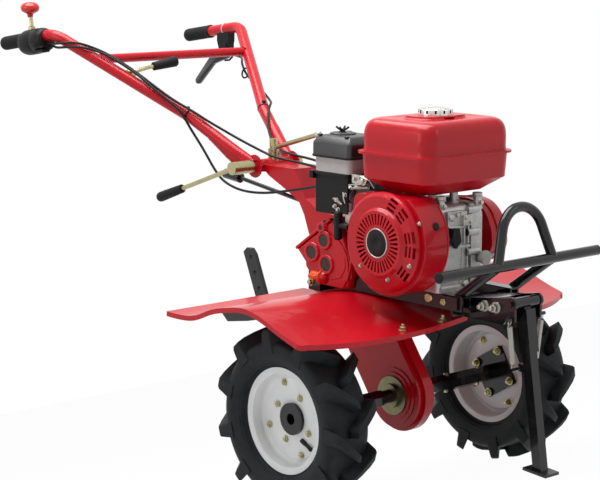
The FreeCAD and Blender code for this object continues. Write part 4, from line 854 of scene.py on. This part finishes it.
def make_linkage():
    """Throttle linkage, governor arm, plug boot and screws between the filter and the starter."""
    bm = bmesh.new()
    add_box(bm, (-60, -107, 468), (-12, -104.6, 487))
    add_box(bm, (-60, -107, 462), (-44, -92, 464.4))
    add_lathe(bm, (-22, -106, 476), RIGHT, [(0, 11), (4, 11), (5, 9.6), (5, 5), (9, 5), (10, 4)], 24)
    add_bolt(bm, (-50, -107, 478), RIGHT, flats=8, head=4.5, washer=6.5)
    add_bolt(bm, (-34, -107, 482), RIGHT, flats=7, head=4, washer=5.5)
    add_bar(bm, [(-66, -110, 462), (-46, -111, 467), (-30, -112, 468), (-10, -112, 474)], 1.9, 8)
    add_bar(bm, [(-40, -110, 486), (-24, -112, 484), (-4, -108, 478), (6, -104, 462)], 1.5, 8)
    add_coil(bm, (-58, -110, 456), (-6, -108, 462), 3.4, 0.9, 16)
    for x, z in ((-66, 392), (-74, 372), (-30, 396)):
        add_bolt(bm, (x, -90.5, z), RIGHT, flats=8, head=5, washer=6.5, thick=1.4)
    bmesh.ops.translate(bm, verts=bm.verts, vec=LINKAGE_SHIFT)
    add_piece("throttle_linkage", bm, ZINC, bevel=0.3)
    bm = bmesh.new()
    for k in range(7):
        z = 340 + 9.4 * k
        add_box(bm, (-84, -69, z), (19, -61, z + 3))
        add_box(bm, (-84, 57, z), (19, 65, z + 3))
    add_lathe(bm, (-98, -2, 370), BACK, [(0, 26), (3, 26), (6, 23), (7, 18)], 32)
    for y, z in ((-40, 352), (-40, 388), (36, 352), (36, 388)):
        add_bolt(bm, (-100, y, z), BACK, flats=8, head=5, washer=7)
    add_piece("head_fins", bm, ALLOY, bevel=0.5)
    bm = bmesh.new()
    add_bar(bm, [(-22, -64, 352), (-22, -78, 350), (-22, -90, 352), (-16, -98, 360)], 7, 14)
    add_bar(bm, [(-16, -96, 358), (-6, -100, 372), (4, -100, 392), (16, -98, 404)], 3.4, 10)
    add_piece("plug_boot", bm, GRIP, angle=50)


def make_starter_trim():
    """Plain centre disc of the starter, its pale ring, the cover's screws and the shroud's button."""
    middle = CRANK + Vector((0, -192, 0))
    bm = bmesh.new()
    add_lathe(bm, middle, RIGHT, [(-2, 28.4), (0.6, 28.4), (1.2, 27.4), (1.2, 9), (0.7, 8), (0.7, 2)], 48)
    add_piece("starter_disc", bm, PLASTIC)
    bm = bmesh.new()
    add_ring(bm, middle, RIGHT, [(-2, 28.4), (-2, 31.2), (1.3, 31.2), (1.9, 30.4), (1.9, 29.2),
            (1.3, 28.4)], 56)
    for radius, angle, y in ((107.5, 27, -166), (78, -71, -184), (95, -23, -184), (77, -135, -184)):
        a = math.radians(angle)
        add_bolt(bm, (CRANK.x + radius * math.cos(a), y, CRANK.z + radius * math.sin(a)), RIGHT, flats=6.5,
                head=3.5, washer=5, thick=1.2, turn=a)
    add_piece("starter_ring", bm, ZINC)
    bm = bmesh.new()
    for y in (-97.4, -164.6):
        points = [(CRANK.x + 112.4 * math.cos(a), y, CRANK.z + 112.4 * math.sin(a))
                for a in (math.radians(-118 + 174 * k / 40) for k in range(41))]
        add_bar(bm, points, 1.7, 8)
    add_ring(bm, CRANK + Vector((0, -191.6, 0)), RIGHT, [(-1, 33.2), (0.9, 33.8), (0.9, 35.2), (-1, 35.8)],
            56)
    add_piece("shroud_beads", bm, RED, angle=50)
    bm = bmesh.new()
    a = math.radians(21)
    out = Vector((math.cos(a), 0, math.sin(a)))
    add_lathe(bm, CRANK + Vector((0, -127, 0)) + out * SHROUD_R, out,
            [(-1, 8.6), (1.6, 8.6), (2.6, 7.6), (2.8, 2)], 28)
    add_piece("shroud_button", bm, GRIP)


def make_crankcase_trim():
    """Cast ribs, governor housing, side cover screws, drain plug and oil filler of the crankcase."""
    bm = bmesh.new()
    add_box(bm, (202, -80, 405), (213, -32, 436))
    add_bar(bm, [(210, -76, 405), (214, -70, 404), (214, -38, 402), (210, -33, 403)], 3.0, 10)
    add_lathe(bm, (212, -70, 424), FORWARD, [(0, 8), (3, 8), (4, 7), (7, 5), (8, 4)], 20)
    add_lathe(bm, (212, -52, 428), FORWARD, [(0, 5), (5, 5), (6, 4)], 16)
    add_boxes(bm, ((202, -52, 356.5), (208.5, -6, 361.5)), ((202, -94, 339), (207, -78, 343)),
            ((202, -95, 314), (206, -6, 317)), ((202, -26, 364), (208, -22, 400)),
            ((202, -16, 364), (210, -12, 426)), ((202, -16, 284), (208, -12, 356)),
            ((202, -30, 284), (206, -27, 356)))
    for x in (40, 70, 100, 130, 160):
        add_box(bm, (x, 38, 290), (x + 4, 43.5, 430))
    for x, z in ((40, 300), (186, 300), (40, 420), (186, 420), (113, 432), (113, 282)):
        add_lathe(bm, (x, 8, z), LEFT, [(0, 8), (8, 8), (9, 7)], 16)
    for x, y in ((52, -74), (52, -10), (162, -74), (162, -10)):
        add_lathe(bm, (x, y, 445), UP, [(0, 13), (3, 13), (4, 12), (4, 9)], 24)
    add_piece("crankcase_ribs", bm, ALLOY, bevel=1.2)
    bm = bmesh.new()
    add_box(bm, (205, -41, 405), (221, -14, 427))
    add_box(bm, (205, -44, 425), (216, -26, 434))
    for y, z in ((-34, 421), (-20, 411)):
        add_bolt(bm, (221, y, z), FORWARD, flats=7, head=3.5, washer=0)
    add_bolt(bm, (204, -22, 281), FORWARD, flats=14, head=8, washer=11)
    add_bolt(bm, (206, -82, 300), FORWARD, flats=8, head=5, washer=7)
    for x, z in ((205, 434), (206, 387), (206, 345), (144, 446), (52, 446), (184, 279)):
        add_bolt(bm, (x, 16, z), LEFT, flats=10, head=6, washer=0)
    for x in (60, 180):
        for y in (-78, -8):
            add_bolt(bm, (x, y, 281), UP, flats=13, head=8, washer=11, end=6)
    for x, y in ((52, -74), (162, -74)):
        add_bolt(bm, (x + 15, y, 449), UP, flats=10, head=6, washer=9)
        add_box(bm, (x - 14, y - 12, 460), (x + 22, y + 12, 462.6))
    add_piece("engine_bolts", bm, ZINC, bevel=0.4)
    bm = bmesh.new()
    add_rings(bm, [[Vector((x, y, z)) for y, z in ((-69, 403), (-62, 366), (-52, 357), (-38, 370),
            (-44, 403))] for x in (203, 213)])
    add_bar(bm, [(210, -60, 400), (220, -70, 386), (214, -84, 360), (206, -92, 330)], 3, 10)
    add_piece("governor_cover", bm, PLASTIC, bevel=1.5)
    bm = bmesh.new()
    add_lathe(bm, (217, 26, 331), FORWARD, [(-6, 13), (0, 13), (0.6, 15), (8, 15), (9.6, 13.6), (10, 5)], 32)
    add_box(bm, (219, 34, 328.5), (225, 54, 333.5), Matrix.Rotation(0.22, 3, "X"), (222, 34, 331))
    add_box(bm, (226, 14, 328), (230, 38, 334))
    add_piece("oil_filler", bm, GREY, bevel=1.2)


CAP_AT = (103, -7)


def make_tank_trim():
    """Filler collar, raised cap top and the slots round the cap."""
    bm = bmesh.new()
    add_lathe(bm, (*CAP_AT, 623), UP, [(0, 46), (1.6, 45), (2.4, 42), (2.6, 36)], 56)
    add_piece("tank_neck", bm, RED, angle=50)
    bm = bmesh.new()
    add_lathe(bm, (*CAP_AT, 637.5), UP, [(0, 27), (1.2, 26.6), (2.0, 25.4), (2.0, 17), (1.2, 15.6),
            (1.2, 3)], 48)
    add_piece("cap_crown", bm, STEEL)
    bm = bmesh.new()
    for k in range(12):
        a = 2 * PI * (k + 0.5) / 12
        add_box(bm, (129, -9.2, 629), (139.6, -4.8, 636), Matrix.Rotation(a, 3, "Z"), (*CAP_AT, 632))
    add_piece("cap_slots", bm, PLASTIC, bevel=0.6)


def make_muffler_guard():
    """Slotted guard plates round the muffler and its outlet."""
    bm = bmesh.new()
    for k in range(6):
        z = 450 + 13 * k
        add_box(bm, (-138, 99, z), (-40, 104, z + 7))
        add_box(bm, (-154, 22, z), (-149, 88, z + 7))
    add_lathe(bm, (-120, 66, 530), UP, [(0, 13), (8, 13), (9, 12), (9, 9), (3, 8.6)], 28)
    add_box(bm, (-120, 14, 531), (-52, 92, 534.6))
    for x in (-140, -40):
        add_bolt(bm, (x, 102, 446), LEFT, flats=8, head=5, washer=8)
    add_piece("muffler_guard", bm, HEAT, bevel=1.4)


# ---------------------------------------------------------------- chassis details
def make_frame_bolts():
    """Bolts of the rails, front bracket, fenders, column, bearing flanges and hitch."""
    bm = bmesh.new()
    for side in (-1, 1):
        out = (0, side, 0)
        add_lathe(bm, (167, side * 87, 252), out, [(-0.5, 11), (1.4, 11), (2, 10.2), (3.2, 9), (3.4, 3)], 24)
        add_bolt(bm, (214.4, side * 87, 251), out, flats=14, head=7, washer=11, end=4)
        add_bolt(bm, (20, side * 87, 251), out, flats=14, head=7, washer=11, end=4)
        add_bolt(bm, (200, side * 80, 206.5), (0.2, side * 0.1, 1), flats=11, head=7, washer=10, end=7)
        add_bolt(bm, (180, side * 176, 199.5), (0.2, side * 0.1, 1), flats=11, head=6, washer=9, end=6)
        add_bolt(bm, (-70, side * 76, 262), (-0.05, side * 0.1, 1), flats=11, head=6, washer=9)
        for y, t in ((54, 0.12), (54, 0.5), (54, 0.88)):
            add_bolt(bm, (-242 + 118 * t, side * y, 309 + 78.6 * t), (-0.554, 0, 0.832), flats=11, head=7,
                    washer=9)
        add_bolt(bm, (-236, side * 42, 226), BACK, flats=13, head=8, washer=11)
        add_bolt(bm, (-236, side * 42, 248), BACK, flats=13, head=8, washer=11)
        add_bolt(bm, (-228, side * 60, 226), out, flats=11, head=6, washer=9)
        face = -22.3 if side < 0 else 34.3
        for k in range(4):
            a = math.radians(20 + 90 * k)
            add_bolt(bm, (35 * math.cos(a), face, 35 * math.sin(a)), out, flats=8, head=4, washer=0)
    add_piece("frame_bolts", bm, YELLOW_ZINC, bevel=0.3)
    bm = bmesh.new()
    for side in (-1, 1):
        out = (0, side, 0)
        for x, z in ((283.5, 247), (315.3, 248)):
            for layer in range(2):
                add_lathe(bm, (x, side * (42 + 1.7 * layer), z), out, [(-0.3, 11.6 - layer),
                        (1.3, 12 - layer), (1.7, 11.4 - layer)], 28)
            add_bolt(bm, (x, side * 45.3, z), out, flats=16, head=9, washer=0, end=9, turn=0.3)
    add_piece("bracket_bolts", bm, ZINC, bevel=0.3)
    bm = bmesh.new()
    for side in (-1, 1):
        face = -18.2 if side < 0 else 30.2
        out = (0, side, 0)
        add_ring(bm, (0, face, 0), out, [(0, 36.5), (5.4, 37.2), (5.8, 38), (5.8, 40), (5.2, 41),
                (0, 41.6)], 56)
        add_ring(bm, (0, face, 0), out, [(3, 20), (13.6, 20), (13.6, 23.4), (12.6, 24.4), (3, 24.4)], 48)
    add_piece("bearing_rings", bm, OLIVE_ZINC)
    bm = bmesh.new()
    for side in (-1, 1):
        add_lathe(bm, (343, side * 240, 338), (0, side, 0), [(-4, 9), (0, 9), (0.4, 11.2), (2.2, 11.2),
                (3.4, 9.6), (3.6, 3)], 24)
    add_piece("bumper_plugs", bm, PLASTIC)


def make_belt_cover_trim():
    """Rolled rim bolts and the pressed ring of the belt cover."""
    bm = bmesh.new()
    for x, z in ((150, 394), (98, 424), (-60, 408), (-160, 358), (-198, 300), (-60, 262), (120, 306)):
        add_bolt(bm, (x, 156, z), LEFT, flats=8, head=5, washer=8)
    add_piece("cover_bolts", bm, ZINC)
    bm = bmesh.new()
    add_ring(bm, (96, 155.5, 372), LEFT, [(0, 40), (2.4, 41.5), (2.4, 44.5), (0, 46)], 56)
    add_ring(bm, (-128, 155.5, 318), LEFT, [(0, 30), (2.4, 31.5), (2.4, 34.5), (0, 36)], 48)
    add_piece("cover_rings", bm, RED, angle=50)


def soften(outline, radius, count=6):
    """Closed outline of (x, z) points with every corner rounded."""
    points = [Vector((x, 0, z)) for x, z in outline]
    line = []
    for before, corner, after in zip(points[-1:] + points, points, points[1:] + points[:1]):
        reach = 0.48 * min((before - corner).length, (after - corner).length)
        line += [(p.x, p.z) for p in corner_arc(before, corner, after, radius, count, reach)]
    return line


def add_pressing(bm, outline, levels):
    """Pressed shape from an outline; levels are (y, inset towards the outline's middle in mm)."""
    middle = Vector((sum(x for x, z in outline) / len(outline), sum(z for x, z in outline) / len(outline)))
    rings = []
    for y, inset in levels:
        ring = []
        for i, (x, z) in enumerate(outline):
            x0, z0 = outline[i - 1]
            x1, z1 = outline[(i + 1) % len(outline)]
            along = Vector((x1 - x0, z1 - z0)).normalized()
            inward = Vector((-along.y, along.x))
            if inward.dot(middle - Vector((x, z))) < 0:
                inward = -inward
            ring.append(Vector((x + inward.x * inset, y, z + inward.y * inset)))
        rings.append(ring)
    add_rings(bm, rings)


def make_belt_cover():
    """Pressed belt cover with rounded edges and a seam flange."""
    bm = bmesh.new()
    outline = soften([(173, 340), (170, 376), (153, 411), (128, 431), (96, 438), (-60, 422), (-178, 366),
            (-216, 306), (-180, 258), (-60, 247), (120, 296), (162, 320)], 60)
    add_pressing(bm, outline, [(100.6, 0), (146, 0), (150.6, 1.2), (153.8, 3.6), (155.6, 7), (156, 12)])
    piece = add_piece("belt_cover_shell", bm, RED, angle=50)
    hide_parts("belt_cover")
    bm = bmesh.new()
    add_pressing(bm, outline, [(118, -0.2), (118.6, -2.6), (123.4, -2.6), (124, -0.2)])
    add_piece("belt_cover_seam", bm, RED, angle=50)


def make_levers():
    """Clutch lever with its rounded tip, the clamp lever's grip and the post lever's end."""
    bm = bmesh.new()
    outline = soften([(-932, 699), (-958, 699), (-1010, 680), (-1076, 613), (-1064, 601), (-997, 661),
            (-935, 681)], 9)
    add_pressing(bm, outline, [(282.6, 1.6), (284, 0), (294, 0), (295.4, 1.6)])
    piece = add_piece("clutch_lever_bar", bm, BLACK, "handlebar", angle=50)
    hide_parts("clutch_lever")
    bm = bmesh.new()
    start, end = Vector((-614, -124, 404)), Vector((-700, -126, 374))
    length = (end - start).length
    add_lathe(bm, start, end - start, [(-2, 6), (-1.6, 9.6), (0, 10.4), (length - 22, 12),
            (length - 8, 12.2), (length - 2, 11), (length, 8), (length, 2)], 32)
    piece = add_piece("clamp_grip", bm, GRIP, angle=50)
    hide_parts("lever_grips")
    bm = bmesh.new()
    start, way = Vector((-276, 0, 550.4)), Vector((76, 0, 21.5)).normalized()
    add_lathe(bm, start, way, [(0, 5.6), (1, 7.4), (9, 7.6), (12, 6.6), (14, 4.2), (14.6, 1.5)], 24)
    add_piece("post_lever_end", bm, ZINC, angle=50)


SHIELD_BOLTS = ((-88, 432), (-94, 418), (-62, 446), (-84, 412))


def make_tank_support():
    """Pressed support plate and deflector between the crankcase and the tank."""
    bm = bmesh.new()
    add_boxes(bm, ((-30, -104, 447), (118, 30, 450)), ((-30, -106, 440), (118, -103, 464)),
            ((-33, -106, 440), (-30, 30, 464)), ((-64, -96, 440), (-33, -88, 462)))
    add_piece("tank_support", bm, BLACK, bevel=0.8)
    bm = bmesh.new()
    for x, z in SHIELD_BOLTS:
        add_bolt(bm, (x, -111, z), RIGHT, flats=7, head=4, washer=5.5, thick=1.2)
    add_coil(bm, (-96, -113, 436), (-70, -113, 424), 3.0, 0.9, 12)
    add_bar(bm, [(-66, -113, 452), (-64, -114, 440), (-60, -113, 428)], 2.0, 8)
    add_piece("shield_screws", bm, ZINC, bevel=0.3)


def make_gearbox_trim():
    """Raised rims round the gearbox plugs, the bearing swells behind them
    and the strip on the sloping edge."""
    bm = bmesh.new()
    for x, z, radius in ((-176, 306, 19), (-136, 337, 18), (-129, 284, 19), (-145, 364, 9)):
        add_ring(bm, (x, -103, z), RIGHT, [(-1, radius - 3.6), (3.6, radius - 3.6), (4.4, radius - 2.6),
                (4.4, radius + 1.6), (3.6, radius + 3.2), (-1, radius + 4.4)], 40)
    add_lathe(bm, (-134, -101, 253.6), (-1, 0, 0.04), [(-8, 8), (-3, 14), (0, 14.6), (5, 14.6)], 32)
    add_lathe(bm, (-145, -84, 364), RIGHT, [(0, 17), (16, 16), (18.4, 14)], 32)
    add_bar(bm, [(-66, -102, 378), (-52, -102, 350), (-48, -102, 318), (-54, -102, 284), (-64, -102, 256)],
            3.2, 10)
    add_bar(bm, [(-150, -102, 262), (-112, -102, 254), (-84, -102, 262), (-70, -102, 284),
            (-72, -102, 306)], 2.6, 10)
    add_piece("gearbox_ribs", bm, RED, angle=50)
    bm = bmesh.new()
    outline = [(-231, 305.4), (-234, 311), (-124, 386.6), (-119, 383.7)]
    add_pressing(bm, outline, [(-60, 0), (-101, 0), (-102, 1)])
    add_piece("gearbox_edge", bm, RED)


def make_oil_plug():
    """Orange filler plug, pointing to the rear from a boss on the gearbox's side."""
    bm = bmesh.new()
    start = Vector((-141, -104, 254))
    add_lathe(bm, start, (-1, 0, 0.04), [(-8, 11), (0, 11), (0, 15.5), (3, 15.8), (5.5, 14.6), (5.5, 10.5),
            (17, 9.5), (24, 10.5), (33, 10), (35, 8.5)], 32)
    add_box(bm, start + Vector((-33, -14.5, -4)), start + Vector((-7, 14.5, 4.5)))
    piece = add_piece("oil_plug_knob", bm, ORANGE, bevel=1.4, angle=50)
    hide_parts("oil_filler_plug")


def make_tank_posts():
    """Cast posts and brackets that carry the front of the tank."""
    bm = bmesh.new()
    for x, y in ((190, -78), (196, 26)):
        add_lathe(bm, (x, y, 432), UP, [(0, 11), (16, 8.6), (26, 8.2), (28, 10.5), (34.6, 10.5)], 24)
        add_box(bm, (x - 20, y - 10, 456), (x + 6, y + 10, 459.5))
    add_piece("tank_posts", bm, ALLOY, bevel=0.6, angle=50)
    bm = bmesh.new()
    for x, y in ((190, -78), (196, 26)):
        add_bolt(bm, (x + 8, y, 446), (1, 0, 0.1), flats=9, head=5, washer=7)
    add_piece("tank_post_bolts", bm, ZINC, bevel=0.3)


make_camera()
make_stage()
dress_nodes()
for cable, cable_route in ROUTES.items():
    make_cable(cable, cable_route)
for wheel in (-1, 1):
    make_tyre(wheel)
make_springs()
make_wheel_fasteners()
make_handle_tubes()
make_grips()
make_switch_housing()
make_clutch_mount()
make_lock_lever()
make_arm_roots()
make_cable_ring()
make_filter_trim()
make_linkage()
make_starter_trim()
make_crankcase_trim()
make_tank_trim()
make_muffler_guard()
make_frame_bolts()
make_belt_cover_trim()
make_belt_cover()
make_levers()
make_tank_support()
make_gearbox_trim()
make_oil_plug()
make_tank_posts()
